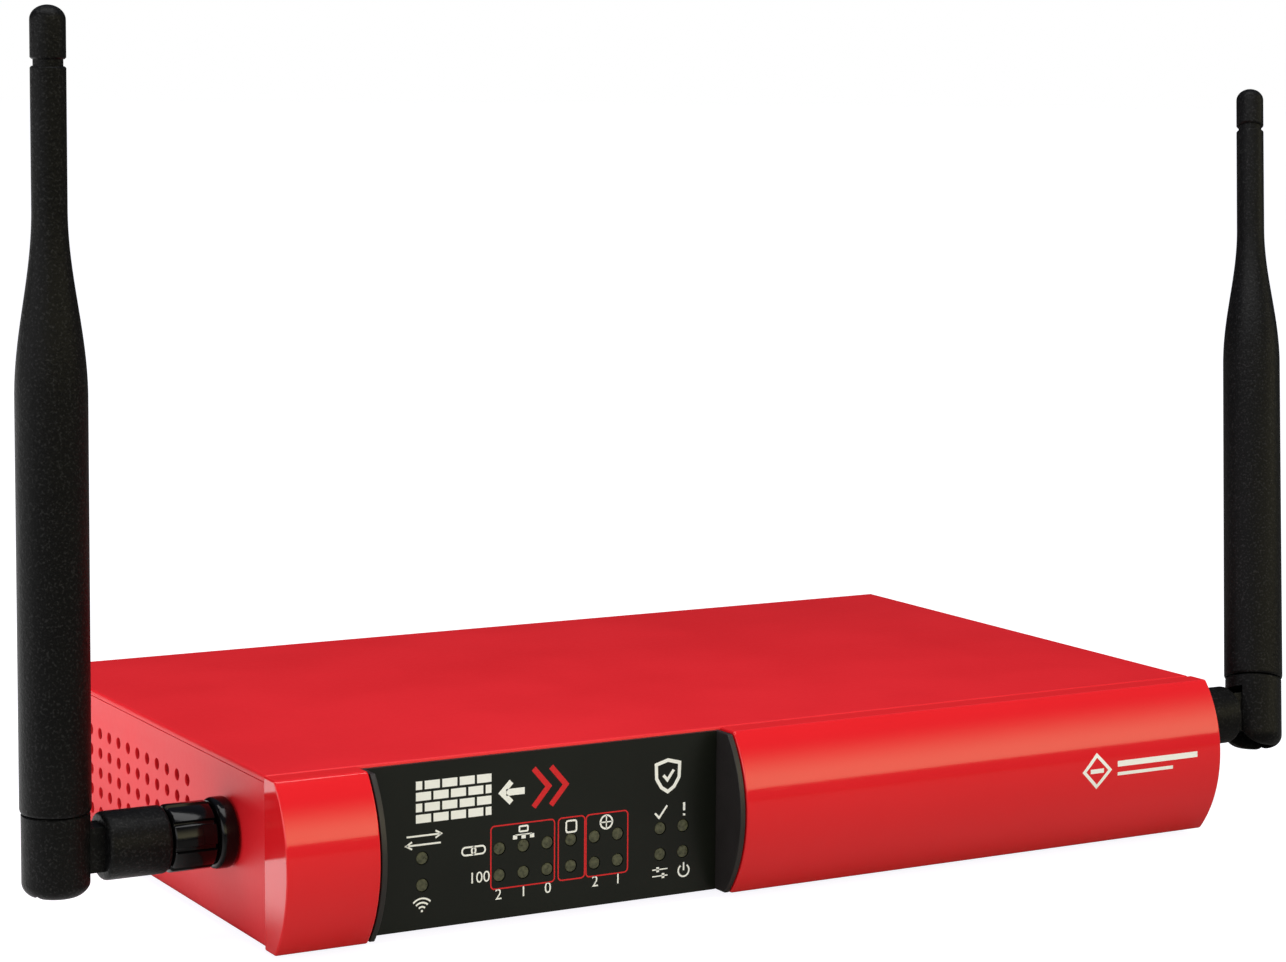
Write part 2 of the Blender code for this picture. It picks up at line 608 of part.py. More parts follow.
def make_panel_connector(side, base, brass, black):
    """Bulkhead connector: a threaded tube through the wall, a hexagon inside it, and a round nut outside."""
    shape = bmesh.new()
    rod(shape, (-0.0090, 0, 0), (0.0079, 0, 0), THREAD_RADIUS - THIN_GAP, 16)
    connector = piece(f"{side}_panel_connector", shape, brass, base)
    hexagon = bmesh.new()
    rod(hexagon, (-0.0046, 0, 0), (-SHEET - GAP, 0, 0), 0.0052, 6)
    combine(connector, "UNION", hexagon)
    bore = bmesh.new()
    rod(bore, (0.003, 0, 0), (0.010, 0, 0), 0.0021, 12)
    combine(connector, "DIFFERENCE", bore)
    hole, edge = THREAD_RADIUS + GAP, 0.0005
    shape = bmesh.new()
    profile = [(hole, GAP), (COLLAR_RADIUS - edge, GAP), (COLLAR_RADIUS, GAP + edge)]
    profile += [(COLLAR_RADIUS, 0.0034), (COLLAR_RADIUS - edge, 0.0039), (hole, 0.0039)]
    turned(shape, profile, 24, "X")
    piece(f"{side}_lock_collar", shape, black, base, smooth=True)


def make_coupling_nut(side, base, black):
    """Coupling nut: a round nut with eight flutes for the fingers."""
    low, high, flutes, groove = 0.0043, 0.0127, 8, 0.0006
    outline = []
    for flute in range(flutes):
        for part, cut in ((0, 0), (0.3, 0), (0.55, 0), (0.7, groove), (0.85, groove)):
            angle = 2 * math.pi * (flute + part) / flutes
            outline.append(((NUT_RADIUS - cut) * math.cos(angle), (NUT_RADIUS - cut) * math.sin(angle)))
    shape = bmesh.new()
    prism(shape, outline, "X", low, high)
    nut = piece(f"{side}_coupling_nut", shape, black, base)
    bore = bmesh.new()
    rod(bore, (low - 0.001, 0, 0), (high + 0.001, 0, 0), THREAD_RADIUS + GAP, 16)
    combine(nut, "DIFFERENCE", bore)


def make_knuckle(side, swivel, black):
    """Knuckle: a barrel with a ferrule inside the nut and a flat tongue that carries the hinge pin."""
    low, high = 0.013, PIVOT_REACH - SHOULDER
    shape = bmesh.new()
    edge = 0.0004
    ferrule, ferrule_low = 0.0028, 0.0083
    profile = [(0, ferrule_low), (ferrule, ferrule_low), (ferrule, low), (BARREL_RADIUS - edge, low)]
    profile += [(BARREL_RADIUS, low + edge), (BARREL_RADIUS, high - edge)]
    profile += [(BARREL_RADIUS - edge, high), (0, high)]
    turned(shape, profile, 24, "X")
    knuckle = piece(f"{side}_knuckle", shape, black, swivel, smooth=True)
    tongue = bmesh.new()
    outline = arc((PIVOT_REACH, 0), TONGUE_END, -90, 90, 8)
    outline += [(high - 0.002, TONGUE_END), (high - 0.002, -TONGUE_END)]
    prism(tongue, outline, "Y", -TONGUE_HALF, TONGUE_HALF)
    combine(knuckle, "UNION", tongue)
    hole = bmesh.new()
    rod(hole, (PIVOT_REACH, -PAST, 0), (PIVOT_REACH, PAST, 0), PIN_HOLE, 10)
    combine(knuckle, "DIFFERENCE", hole)
    shape = bmesh.new()
    rod(shape, (PIVOT_REACH, -PIN_HALF, 0), (PIVOT_REACH, PIN_HALF, 0), PIN_RADIUS, 10)
    piece(f"{side}_hinge_pin", shape, black, swivel, smooth=True)


def make_sleeve(side, fold, black):
    """Mast sleeve: a round fork over the tongue. Its foot is rounded where it swings past the barrel."""
    shape = bmesh.new()
    reach, corner = SHOULDER - 0.0002, 0.0026
    spigot_top = SLEEVE_TOP + SPIGOT_LENGTH
    profile = [(0, -reach), *arc((SLEEVE_RADIUS - corner, corner - reach), corner, 270, 360, 5)]
    profile += [(SLEEVE_RADIUS, SLEEVE_TOP), (SPIGOT_RADIUS, SLEEVE_TOP)]
    profile += [(SPIGOT_RADIUS, spigot_top), (0, spigot_top)]
    turned(shape, profile, 24)
    sleeve = piece(f"{side}_mast_sleeve", shape, black, fold, smooth=True)
    foot = bmesh.new()
    outline = [(PAST, 2 * PAST), (-PAST, 2 * PAST), (-PAST, 0)]
    outline += arc((0, 0), reach, 200, 265, 8)
    outline += [(0, -PAST), (PAST, -PAST)]
    prism(foot, outline, "Y", -PAST, PAST)
    combine(sleeve, "INTERSECT", foot)
    slot = bmesh.new()
    reach = TONGUE_END + 0.0004
    width = TONGUE_HALF + GAP
    box(slot, (-2 * PAST, -width, -2 * PAST), (reach, width, reach))
    combine(sleeve, "DIFFERENCE", slot)
    hole = bmesh.new()
    rod(hole, (0, -PIN_HALF - GAP, 0), (0, PIN_HALF + GAP, 0), PIN_HOLE, 10)
    combine(sleeve, "DIFFERENCE", hole)


def make_mast(side, fold, black):
    """Mast: a stiff rubber-skinned rod that tapers to a thin neck, with a domed cap on its end."""
    low = SLEEVE_TOP + GAP
    bore, bore_top = SPIGOT_RADIUS + GAP, SLEEVE_TOP + SPIGOT_LENGTH + 0.0005
    profile = [(0, bore_top), (bore, bore_top), (bore, low), (SLEEVE_RADIUS, low)]
    profile.append((MAST_RADIUS, low + 0.0006))
    steps = 8
    for i in range(steps + 1):
        t = i / steps
        radius = MAST_RADIUS + (NECK_RADIUS - MAST_RADIUS) * (1 - math.cos(math.pi * t)) / 2
        profile.append((radius, FLARE_LOW + (FLARE_HIGH - FLARE_LOW) * t))
    spigot = NECK_RADIUS - 0.0005
    profile += [(NECK_RADIUS, MAST_TOP), (spigot, MAST_TOP), (spigot, CAP_LOW + 0.003), (0, CAP_LOW + 0.003)]
    shape = bmesh.new()
    turned(shape, profile, 24)
    piece(f"{side}_mast", shape, black, fold, smooth=True)
    bore = spigot + GAP / 3
    dome = 0.0026
    profile = [(0, CAP_LOW + 0.0034), (bore, CAP_LOW + 0.0034), (bore, CAP_LOW), (NECK_RADIUS, CAP_LOW)]
    for radius, height in arc((0, 0), 1, 0, 90, 5)[:-1]:
        profile.append((NECK_RADIUS * radius, CAP_TOP - dome + dome * height))
    profile.append((0, CAP_TOP))
    shape = bmesh.new()
    turned(shape, profile, 24)
    piece(f"{side}_tip_cap", shape, black, fold, smooth=True)


def make_antenna(side, sign, swivel_angle, lean_angle, black, gloss, brass):
    """One antenna: a fixed connector, a knuckle that swivels about it and a mast that folds on its pin."""
    base = bpy.data.objects.new(f"{side}_base", None)
    base.location = (sign * RIGHT, AERIAL_Y, AERIAL_Z)
    base.rotation_euler = (0, 0, 0 if sign > 0 else math.pi)
    swivel = bpy.data.objects.new(f"{side}_swivel", None)
    swivel.parent = base
    swivel.rotation_euler = (swivel_angle, 0, 0)
    fold = bpy.data.objects.new(f"{side}_fold", None)
    fold.parent = swivel
    fold.location = (PIVOT_REACH, 0, 0)
    fold.rotation_euler = (0, lean_angle, 0)
    for empty in (base, swivel, fold):
        bpy.context.scene.collection.objects.link(empty)
    make_panel_connector(side, base, brass, gloss)
    make_coupling_nut(side, base, gloss)
    make_knuckle(side, swivel, black)
    make_sleeve(side, fold, black)
    make_mast(side, fold, black)


def main():
    clear_scene()
    red_paint = finish("red_paint", (0.76, 0.012, 0.019), 0.35)
    red_plastic = finish("red_plastic", (0.74, 0.012, 0.017), 0.25)
    black_plastic = finish("black_plastic", (0.02, 0.02, 0.02), 0.45)
    black_rubber = finish("black_rubber", (0.012, 0.012, 0.012), 0.6)
    film_black = finish("film_black", (0.008, 0.009, 0.006), 0.3)
    clear_plastic = finish("clear_plastic", (0.5, 0.5, 0.4), 0.15)
    board_green = finish("board_green", (0.02, 0.12, 0.04), 0.4)
    steel = finish("steel", (0.6, 0.6, 0.6), 0.3, 1)
    brass = finish("brass", (0.7, 0.5, 0.2), 0.3, 1)
    pale_plastic = finish("pale_plastic", (0.7, 0.7, 0.68), 0.4)

    make_tray(red_paint)
    make_lid(red_paint)
    make_bezel(red_plastic)
    make_insert(black_plastic)
    make_film(film_black)
    make_light_guide(clear_plastic)
    make_board(board_green)
    for name, x in JACKS.items():
        make_network_jack(name, x, steel)
    make_serial_port(steel, steel)
    make_power_jack(black_plastic)
    make_reset(black_plastic, pale_plastic)
    make_components(black_plastic, steel, board_green)
    make_pigtails(black_plastic)
    make_fasteners(steel)
    make_feet(black_rubber)
    make_rating_label(finish("label_silver", (0.6, 0.6, 0.6), 0.4))
    make_antenna("left", -1, LEFT_SWIVEL, LEFT_LEAN, black_rubber, black_plastic, brass)
    make_antenna("right", 1, RIGHT_SWIVEL, RIGHT_LEAN, black_rubber, black_plastic, brass)


main()
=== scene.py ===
"""Looks for a wireless firewall appliance: a red sheet-metal case with a glossy curved bezel, a printed
status panel, rear sockets and two hinged stub antennas. Metres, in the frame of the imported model."""

import math

import bmesh
import bpy
from mathutils import Matrix, Vector


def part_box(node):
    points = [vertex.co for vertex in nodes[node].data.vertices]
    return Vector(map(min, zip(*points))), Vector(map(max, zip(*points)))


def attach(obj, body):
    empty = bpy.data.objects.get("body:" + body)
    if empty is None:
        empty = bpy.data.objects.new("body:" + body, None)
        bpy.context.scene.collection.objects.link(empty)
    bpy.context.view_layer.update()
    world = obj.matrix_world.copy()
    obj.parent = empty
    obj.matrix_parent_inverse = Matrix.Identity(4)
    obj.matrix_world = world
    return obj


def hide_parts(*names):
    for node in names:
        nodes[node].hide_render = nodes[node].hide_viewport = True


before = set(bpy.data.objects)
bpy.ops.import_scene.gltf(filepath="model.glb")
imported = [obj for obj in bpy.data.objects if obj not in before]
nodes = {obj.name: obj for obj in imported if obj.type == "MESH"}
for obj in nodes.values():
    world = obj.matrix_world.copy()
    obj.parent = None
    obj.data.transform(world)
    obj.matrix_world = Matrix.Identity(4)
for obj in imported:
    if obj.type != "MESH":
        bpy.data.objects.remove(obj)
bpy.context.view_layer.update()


# Studio: a pale floor under the feet, one softbox overhead and one at the left, and a white surround.
# Reflections also find a warm softbox at the front, a white card on the floor beside the left wall, and
# a dark flag behind the set.


class Wire:
    """A socket of a shader tree. Arithmetic on it adds Math nodes, and node() adds any other kind."""

    def __init__(self, tree, socket=None):
        self.tree, self.socket = tree, socket

    def node(self, kind, settings=None, inputs=None, output=0):
        made = self.tree.nodes.new("ShaderNode" + kind)
        for key, value in (settings or {}).items():
            if key == "stops":
                ends = made.color_ramp.elements
                for end, (place, shade) in ((ends[0], value[0]), (ends[1], value[-1])):
                    end.position, end.color = place, (*shade, 1)
                for place, shade in value[1:-1]:
                    ends.new(place).color = (*shade, 1)
            else:
                setattr(made, key, value)
        for key, value in (inputs or {}).items():
            if isinstance(value, Wire):
                self.tree.links.new(value.socket, made.inputs[key])
            else:
                made.inputs[key].default_value = value
        return Wire(self.tree, made.outputs[output])

    def math(self, operation, a, b):
        return self.node("Math", {"operation": operation}, {0: a, 1: b})

    def __add__(self, other):
        return self.math("ADD", self, other)

    __radd__ = __add__

    def __mul__(self, other):
        return self.math("MULTIPLY", self, other)

    __rmul__ = __mul__

    def __sub__(self, other):
        return self.math("SUBTRACT", self, other)

    def __rsub__(self, other):
        return self.math("SUBTRACT", other, self)

    def step(self, low, high):
        """0 below low and 1 above high, with a smooth change between."""
        return self.node("MapRange", {"interpolation_type": "SMOOTHSTEP"}, {0: self, 1: low, 2: high})

    def mix(self, a, b):
        """Colour a where this is 0 and colour b where it is 1."""
        a, b = (value if isinstance(value, Wire) else (*value, 1) for value in (a, b))
        return self.node("Mix", {"data_type": "RGBA"}, {0: self, 6: a, 7: b}, 2)


bpy.context.scene.view_settings.view_transform = "Standard"
world = bpy.context.scene.world or bpy.data.worlds.new("surround")
bpy.context.scene.world = world
world.use_nodes = True
sky = Wire(world.node_tree)
backdrop = world.node_tree.nodes["Background"]
direction = sky.node("TexCoord")
across, along, upward = (sky.node("SeparateXYZ", None, {0: direction}, i) for i in range(3))
rear = along.step(-0.1, 0.5) * (1 - upward.step(0.25, 0.75))
softbox = upward.step(0.130, 0.150) * (1 - upward.step(0.22, 0.66)) * (1 - along.step(-0.45, -0.05))
softbox = softbox * across.step(-0.9, -0.2)
seen = sky.node("LightPath")
flagged = rear.mix((0.12, 0.14, 0.19), (0.01, 0.01, 0.01))
warmed = softbox.mix(flagged, (3.1, 2.85, 1.8))
world.node_tree.links.new(seen.mix(warmed, (1.0, 1.0, 1.0)).socket, backdrop.inputs["Color"])

FLOOR_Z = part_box("foot_1")[0].z - 0.00005
shape = bmesh.new()
level = Matrix.Translation((0, 0, FLOOR_Z))
bmesh.ops.create_circle(shape, cap_ends=True, segments=96, radius=30, matrix=level)
floor_mesh = bpy.data.meshes.new("floor")
shape.to_mesh(floor_mesh)
shape.free()
floor = bpy.data.objects.new("floor", floor_mesh)
bpy.context.scene.collection.objects.link(floor)
pale = bpy.data.materials.new("pale_floor")
pale.use_nodes = True
pale_shader = pale.node_tree.nodes["Principled BSDF"]
pale_floor = {"Base Color": (0.38, 0.38, 0.38, 1), "Roughness": 0.9, "Specular IOR Level": 0.0}
for socket, value in {**pale_floor, "Emission Strength": 0.9}.items():
    pale_shader.inputs[socket].default_value = value
ground = Wire(pale.node_tree)
spread = ground.node("TexCoord", output=3)
left_of, behind = (ground.node("SeparateXYZ", None, {0: spread}, i) for i in range(2))
card = (1 - left_of.step(-0.125, -0.11)) * behind.step(-0.12, 0.0)
card_glow = card.mix((0, 0, 0), (1.35, 1.35, 1.35))
glow = ground.node("LightPath").mix(card_glow, (1, 1, 1.05))
pale.node_tree.links.new(glow.socket, pale_shader.inputs["Emission Color"])
floor_mesh.materials.append(pale)


def softbox_light(name, place, target, size, power, shade=(1, 1, 1)):
    data = bpy.data.lights.new(name, "AREA")
    data.shape, data.size, data.size_y = "RECTANGLE", *size
    data.energy, data.color = power, shade
    light = bpy.data.objects.new(name, data)
    light.location = place
    light.rotation_euler = (Vector(target) - Vector(place)).to_track_quat("-Z", "Y").to_euler()
    bpy.context.scene.collection.objects.link(light)


softbox_light("overhead_softbox", (-0.1, -0.15, 1.1), (0, 0, 0), (1.2, 0.55), 9.5)
softbox_light("left_softbox", (-1.1, -0.3, 0.35), (0, 0, 0.02), (1.8, 0.5), 6)

camera_data = bpy.data.cameras.new("camera")
camera_data.sensor_width, camera_data.lens, camera_data.clip_start = 36, 87.4, 0.01
camera = bpy.data.objects.new("camera", camera_data)
turn = Matrix.Rotation(math.radians(-29.565), 4, "Z") @ Matrix.Rotation(math.radians(90 - 7.175), 4, "X")
turn = turn @ Matrix.Rotation(math.radians(0.454), 4, "Z")
camera.matrix_world = Matrix.Translation((-0.31901, -0.57354, 0.15560)) @ turn
bpy.context.scene.collection.objects.link(camera)
bpy.context.scene.camera = camera


# Base tray: one sheet of 1 mm steel, punched and folded up at the sides and rear, then powder-coated red.
# Round vents stand in a grid in each side wall, and the rear wall has the cut-outs for the sockets.


class Finish(Wire):
    """A Principled material whose nodes read places on the piece in metres."""

    def __init__(self, name, constants):
        self.material = bpy.data.materials.new(name)
        self.material.use_nodes = True
        super().__init__(self.material.node_tree)
        self.shader = self.tree.nodes["Principled BSDF"]
        for socket, value in constants.items():
            self.shader.inputs[socket].default_value = value
        self.place = self.node("TexCoord", output=3)

    def drive(self, socket, wire):
        self.tree.links.new(wire.socket, self.shader.inputs[socket])

    def noise(self, size, detail=2.0, stretch=(1, 1, 1)):
        """Noise from 0 to 1, its features about that wide in metres and longer along a stretched axis."""
        scale = [1 / (size * part) for part in stretch]
        place = self.node("VectorMath", {"operation": "MULTIPLY"}, {0: self.place, 1: scale})
        return self.node("TexNoise", None, {"Vector": place, "Scale": 1.0, "Detail": detail})

    def relief(self, height, depth):
        """Bump that reaches that depth in metres."""
        bump = self.node("Bump", None, {"Strength": 1.0, "Distance": depth, "Height": height})
        self.drive("Normal", bump)


def box(shape, low, high):
    low, high = Vector(low), Vector(high)
    place = Matrix.Translation((low + high) / 2) @ Matrix.Diagonal((*(high - low), 1))
    return bmesh.ops.create_cube(shape, size=1, matrix=place)["verts"]


def rod(shape, start, end, radius, sides=24):
    """A cylinder between two points."""
    start, end = Vector(start), Vector(end)
    turn = (end - start).to_track_quat("Z", "Y").to_matrix().to_4x4()
    place = Matrix.Translation((start + end) / 2) @ turn
    size = {"radius1": radius, "radius2": radius, "depth": (end - start).length}
    bmesh.ops.create_cone(shape, cap_ends=True, segments=sides, matrix=place, **size)


def start(name, shape):
    """The shape as an object that is still to be cut and finished."""
    made = bpy.data.objects.new(name, bpy.data.meshes.new(name))
    shape.to_mesh(made.data)
    shape.free()
    bpy.context.scene.collection.objects.link(made)
    return made


def cut(made, shape, operation="DIFFERENCE"):
    """Takes the shape away from the piece, or joins it on."""
    tool = start("tool", shape)
    modifier = made.modifiers.new("cut", "BOOLEAN")
    modifier.operation, modifier.solver, modifier.object = operation, "EXACT", tool
    solved = made.evaluated_get(bpy.context.evaluated_depsgraph_get())
    result = bpy.data.meshes.new_from_object(solved)
    made.modifiers.remove(modifier)
    made.data = result
    bpy.data.objects.remove(tool)


def settle(made, finish, body, slot, *replaced, edge=0.0, steps=2, angle=32, place=None):
    """Rounds the piece's edges, gives it its finish and lets it ride with its body."""
    if place is not None:
        made.data.transform(place)
    made.data.materials.clear()
    made.data.materials.append(finish.material)
    made.data.shade_smooth()
    made.data.set_sharp_from_angle(angle=math.radians(angle))
    if edge:
        bevel = made.modifiers.new("edge", "BEVEL")
        bevel.width, bevel.segments, bevel.limit_method = edge, steps, "ANGLE"
        bevel.angle_limit = math.radians(angle)
        bevel.harden_normals = True
    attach(made, body)
    if replaced:
        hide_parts(*replaced)
    return made


red_coat = Finish("red_powder_coat", {"Specular IOR Level": 0.36})
patches = red_coat.noise(0.03, 3)
peel = red_coat.noise(0.0011, 2)
specks = red_coat.noise(0.00035, 1).step(0.66, 0.78)
coat_red = patches.step(0.3, 0.7).mix((0.735, 0.0115, 0.0185), (0.775, 0.0135, 0.0215))
red_coat.drive("Base Color", (specks * 0.35).mix(coat_red, (0.62, 0.008, 0.012)))
red_coat.drive("Roughness", 0.40 + 0.08 * patches + 0.06 * peel)
red_coat.relief(peel + 0.25 * specks, 0.000014)

tray_low, tray_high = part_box("base_tray")
SHEET, BEND = 0.001, 0.0013
FRONT, REAR, RIGHT = -0.061, 0.061, 0.106


def folded(low, high, radius):
    """A block whose lower side and rear edges, and upright rear edges, are bent to a radius."""
    shape = bmesh.new()
    box(shape, low, high)

    def bent(edge):
        ends = [vert.co for vert in edge.verts]
        at_rear = all(end.y > high[1] - 0.0001 for end in ends)
        at_floor = all(end.z < low[2] + 0.0001 for end in ends)
        at_front = all(end.y < low[1] + 0.0001 for end in ends)
        upright = abs(ends[0].z - ends[1].z) > 0.001
        return (at_floor and not at_front) or (at_rear and upright)

    edges = [edge for edge in shape.edges if bent(edge)]
    bmesh.ops.bevel(shape, geom=edges, offset=radius, segments=5, profile=0.5, affect="EDGES")
    return shape


tray_high.z += 0.0002
tray = start("tray_shell", folded(tray_low, tray_high, BEND))
inside_low = (tray_low.x + SHEET, tray_low.y - 0.01, SHEET)
inside_high = (tray_high.x - SHEET, tray_high.y - SHEET, tray_high.z + 0.01)
cut(tray, folded(inside_low, inside_high, BEND - SHEET))
VENT_COLUMNS, VENT_ROWS, VENT_RADIUS = 14, 5, 0.00115
VENT_PITCH_Y, VENT_PITCH_Z = 0.0054, 0.00413
VENT_FIRST_Y, VENT_TOP_Z = FRONT + 0.0385, 0.0238
AERIAL_Y, AERIAL_Z = FRONT + 0.0176, 0.0183
punched = bmesh.new()
for side in (-1, 1):
    near, far = side * (RIGHT - 0.003), side * (RIGHT + 0.003)
    for column in range(VENT_COLUMNS):
        for row in range(VENT_ROWS):
            y, z = VENT_FIRST_Y + VENT_PITCH_Y * column, VENT_TOP_Z - VENT_PITCH_Z * row
            rod(punched, (near, y, z), (far, y, z), VENT_RADIUS, 20)
    rod(punched, (near, AERIAL_Y, AERIAL_Z), (far, AERIAL_Y, AERIAL_Z), 0.0034, 32)
    box(punched, (min(near, far), 0.0495, 0.0035), (max(near, far), 0.0565, 0.0065))
cut(tray, punched)
JACKS = [name for name in nodes if name.startswith("network_jack")]
RESET_X, RESET_Z = 0.038, 0.012
SERIAL_X, SERIAL_Z, JACKSCREW_X = 0.060, 0.0140, 0.0125
LID_SCREW_X, LID_SCREW_Z = 0.098, 0.027


def d_outline(grow):
    """The nine-way D, wider at its top, as (x, z) points with round corners."""
    corners = [(-0.0076, -0.0042), (0.0076, -0.0042), (0.0085, 0.0042), (-0.0085, 0.0042)]
    radius, points = 0.0016, []
    for number, (x, z) in enumerate(corners):
        inner = Vector((x - math.copysign(radius, x), z - math.copysign(radius, z)))
        for turn in range(6):
            angle = math.radians(180 + 90 * number + 18 * turn)
            reach = radius + grow
            x, z = inner.x + reach * math.cos(angle), inner.y + reach * math.sin(angle)
            points.append((SERIAL_X + x, SERIAL_Z + z))
    return points


def prism(shape, outline, axis, low, high):
    """An outline pushed along an axis. Its points hold the two other coordinates, in X, Y, Z order."""
    put = {
        "X": lambda a, b, along: (along, a, b),
        "Y": lambda a, b, along: (a, along, b),
        "Z": lambda a, b, along: (a, b, along),
    }[axis]
    near, far = ([shape.verts.new(put(a, b, along)) for a, b in outline] for along in (low, high))
    shape.faces.new(near)
    shape.faces.new(far)
    for i in range(len(outline)):
        shape.faces.new((near[i - 1], near[i], far[i], far[i - 1]))
    bmesh.ops.recalc_face_normals(shape, faces=shape.faces[:])


punched = bmesh.new()
wall = (REAR - 0.003, REAR + 0.003)
for name in [*JACKS, "power_jack"]:
    low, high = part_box(name)
    box(punched, (low.x - 0.0003, wall[0], low.z - 0.0003), (high.x + 0.0003, wall[1], high.z + 0.0003))
rod(punched, (RESET_X, wall[0], RESET_Z), (RESET_X, wall[1], RESET_Z), 0.0016)
prism(punched, d_outline(0.0003), "Y", *wall)
for side in (-1, 1):
    x = SERIAL_X + side * JACKSCREW_X
    rod(punched, (x, wall[0], SERIAL_Z), (x, wall[1], SERIAL_Z), 0.0017)
    x = side * LID_SCREW_X
    rod(punched, (x, wall[0], LID_SCREW_Z), (x, wall[1], LID_SCREW_Z), 0.0016)
cut(tray, punched)
bosses = bmesh.new()
for x in (-0.090, 0.090):
    for y in (-0.048, 0.030):
        rod(bosses, (x, y, SHEET / 2), (x, y, 0.0047), 0.003)
cut(tray, bosses, "UNION")
settle(tray, red_coat, "chassis", "red_paint", "base_tray", edge=0.00012)


# Lid: a flat plate of the same coated steel, its upper edges broken to a small radius, with flanges turned
# down inside the walls. It slides on and two screws hold it at the rear.

lid_low, lid_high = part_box("top_lid")
LID_THICKNESS = 0.0012
shape = bmesh.new()
box(shape, (lid_low.x, lid_low.y, lid_high.z - LID_THICKNESS), lid_high)
upper = [edge for edge in shape.edges if all(vert.co.z > lid_high.z - 0.0001 for vert in edge.verts)]
bmesh.ops.bevel(shape, geom=upper, offset=0.0006, segments=5, profile=0.5, affect="EDGES")
lid = start("lid_plate", shape)
flanges = bmesh.new()
flange_top = lid_high.z - LID_THICKNESS / 2
inner = RIGHT - SHEET - 0.0003
for side in (-1, 1):
    ends = sorted((side * inner, side * (inner - SHEET)))
    box(flanges, (ends[0], FRONT + 0.010, 0.0256), (ends[1], REAR - 0.006, flange_top))
back = REAR - SHEET - 0.0003
box(flanges, (-0.102, back - SHEET, 0.0225), (0.102, back, flange_top))
cut(lid, flanges, "UNION")
holes = bmesh.new()
for x in (-LID_SCREW_X, LID_SCREW_X):
    rod(holes, (x, back - 0.003, LID_SCREW_Z), (x, back + 0.001, LID_SCREW_Z), 0.0016)
cut(lid, holes)
settle(lid, red_coat, "chassis", "red_paint", "top_lid")


# Bezel: one hollow moulding in glossy red plastic across the whole front, an arc in side view with flat ends.
# It is open at the status panel, and a spigot behind it fits inside the case.

BEZEL_RADIUS, BEZEL_REACH, BEZEL_MID_Z, BEZEL_WALL = 0.0252, 0.01075, 0.0163, 0.002
PANEL_LEFT, PANEL_RIGHT = -0.088, -0.0106
bezel_low, bezel_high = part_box("front_bezel")
ARC_Y = FRONT - BEZEL_REACH + BEZEL_RADIUS


def arc_outline(inset, low, high, back, steps=48):
    """The bezel's side view as (y, z) points: its front arc between two heights, and a straight back."""
    radius = BEZEL_RADIUS - inset
    first = math.asin((low - BEZEL_MID_Z) / radius)
    last = math.asin((high - BEZEL_MID_Z) / radius)
    points = []
    for i in range(steps + 1):
        angle = first + (last - first) * i / steps
        points.append((ARC_Y - radius * math.cos(angle), BEZEL_MID_Z + radius * math.sin(angle)))
    return [*points, (back, high), (back, low)]


gloss_red = Finish("red_gloss_plastic", {"Specular IOR Level": 0.34, "Coat Roughness": 0.06})
flow = gloss_red.noise(0.02, 2)
hairlines = gloss_red.noise(0.00022, 2, (60, 1, 1)).step(0.62, 0.75)
outward = gloss_red.node("NewGeometry", output=1)
# Upward faces are rougher, a matt top, and also get a lighter red, which is a painted highlight from the
# overhead light.
matt_top_and_painted_highlight = gloss_red.node("SeparateXYZ", None, {0: outward}, 2).step(0.9, 0.99)
moulded_red = flow.mix((0.735, 0.0118, 0.0165), (0.775, 0.0138, 0.0195))
gloss_red.drive("Base Color", matt_top_and_painted_highlight.mix(moulded_red, (0.86, 0.015, 0.021)))
gloss_red.drive("Roughness", 0.08 + 0.04 * flow + 0.08 * hairlines + 0.34 * matt_top_and_painted_highlight)
gloss_red.drive("Coat Weight", 0.25 - 0.15 * hairlines)
gloss_red.relief(flow + 0.05 * hairlines, 0.00002)

shape = bmesh.new()
prism(shape, arc_outline(0, 0.0, bezel_high.z, FRONT - 0.00015), "X", bezel_low.x, bezel_high.x)
bezel = start("bezel_moulding", shape)
spigot = bmesh.new()
box(spigot, (-0.1046, FRONT - 0.002, 0.0013), (0.1046, FRONT + 0.0042, 0.0304))
cut(bezel, spigot, "UNION")
hollow = bmesh.new()
for left, right in ((-0.1026, PANEL_LEFT - BEZEL_WALL), (PANEL_RIGHT + BEZEL_WALL, 0.1026)):
    prism(hollow, arc_outline(BEZEL_WALL, 0.0029, 0.0288, FRONT + 0.01), "X", left, right)
box(hollow, (PANEL_LEFT, FRONT - 0.02, -0.01), (PANEL_RIGHT, FRONT + 0.0023, 0.05))
cut(bezel, hollow)
window = bmesh.new()
box(window, (-0.080, FRONT, 0.0045), (-0.014, FRONT + 0.01, 0.027))
cut(bezel, window)
settle(bezel, gloss_red, "chassis", "red_plastic", "front_bezel", edge=0.0004, steps=3, angle=40)


# Panel insert: a matt black moulding clipped behind the opening. Two thin cheeks follow the bezel's arc on
# either side of a flat plate, which is bored for the lamps.

LAMP_ROWS = (0.0137, 0.00857)
LAMP_COLUMNS = (-0.0753, *(-0.0593 + 0.00508 * i for i in range(6)), -0.0245, -0.01942)
insert_low, insert_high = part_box("panel_insert")
film_low, film_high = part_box("panel_film")
CHEEK = 0.0011
shape = bmesh.new()
outline = arc_outline(0.0002, insert_low.z, insert_high.z, FRONT - 0.00015)
prism(shape, outline, "X", insert_low.x, insert_high.x)
insert = start("panel_surround", shape)
pocket = bmesh.new()
left, right = insert_low.x + CHEEK, insert_high.x - CHEEK
box(pocket, (left, FRONT - 0.02, -0.01), (right, film_high.y + 0.00005, 0.05))
cut(insert, pocket)
backing = bmesh.new()
box(backing, (left, film_high.y + 0.0003, 0.0016), (right, FRONT + 0.002, 0.0302))
cut(insert, backing, "UNION")
bores = bmesh.new()
for x in LAMP_COLUMNS:
    for z in LAMP_ROWS:
        rod(bores, (x, FRONT - 0.01, z), (x, FRONT + 0.01, z), 0.0015)
cut(insert, bores)
matt_black = Finish("black_moulded_plastic", {"Specular IOR Level": 0.45})
grain = matt_black.noise(0.00028, 3)
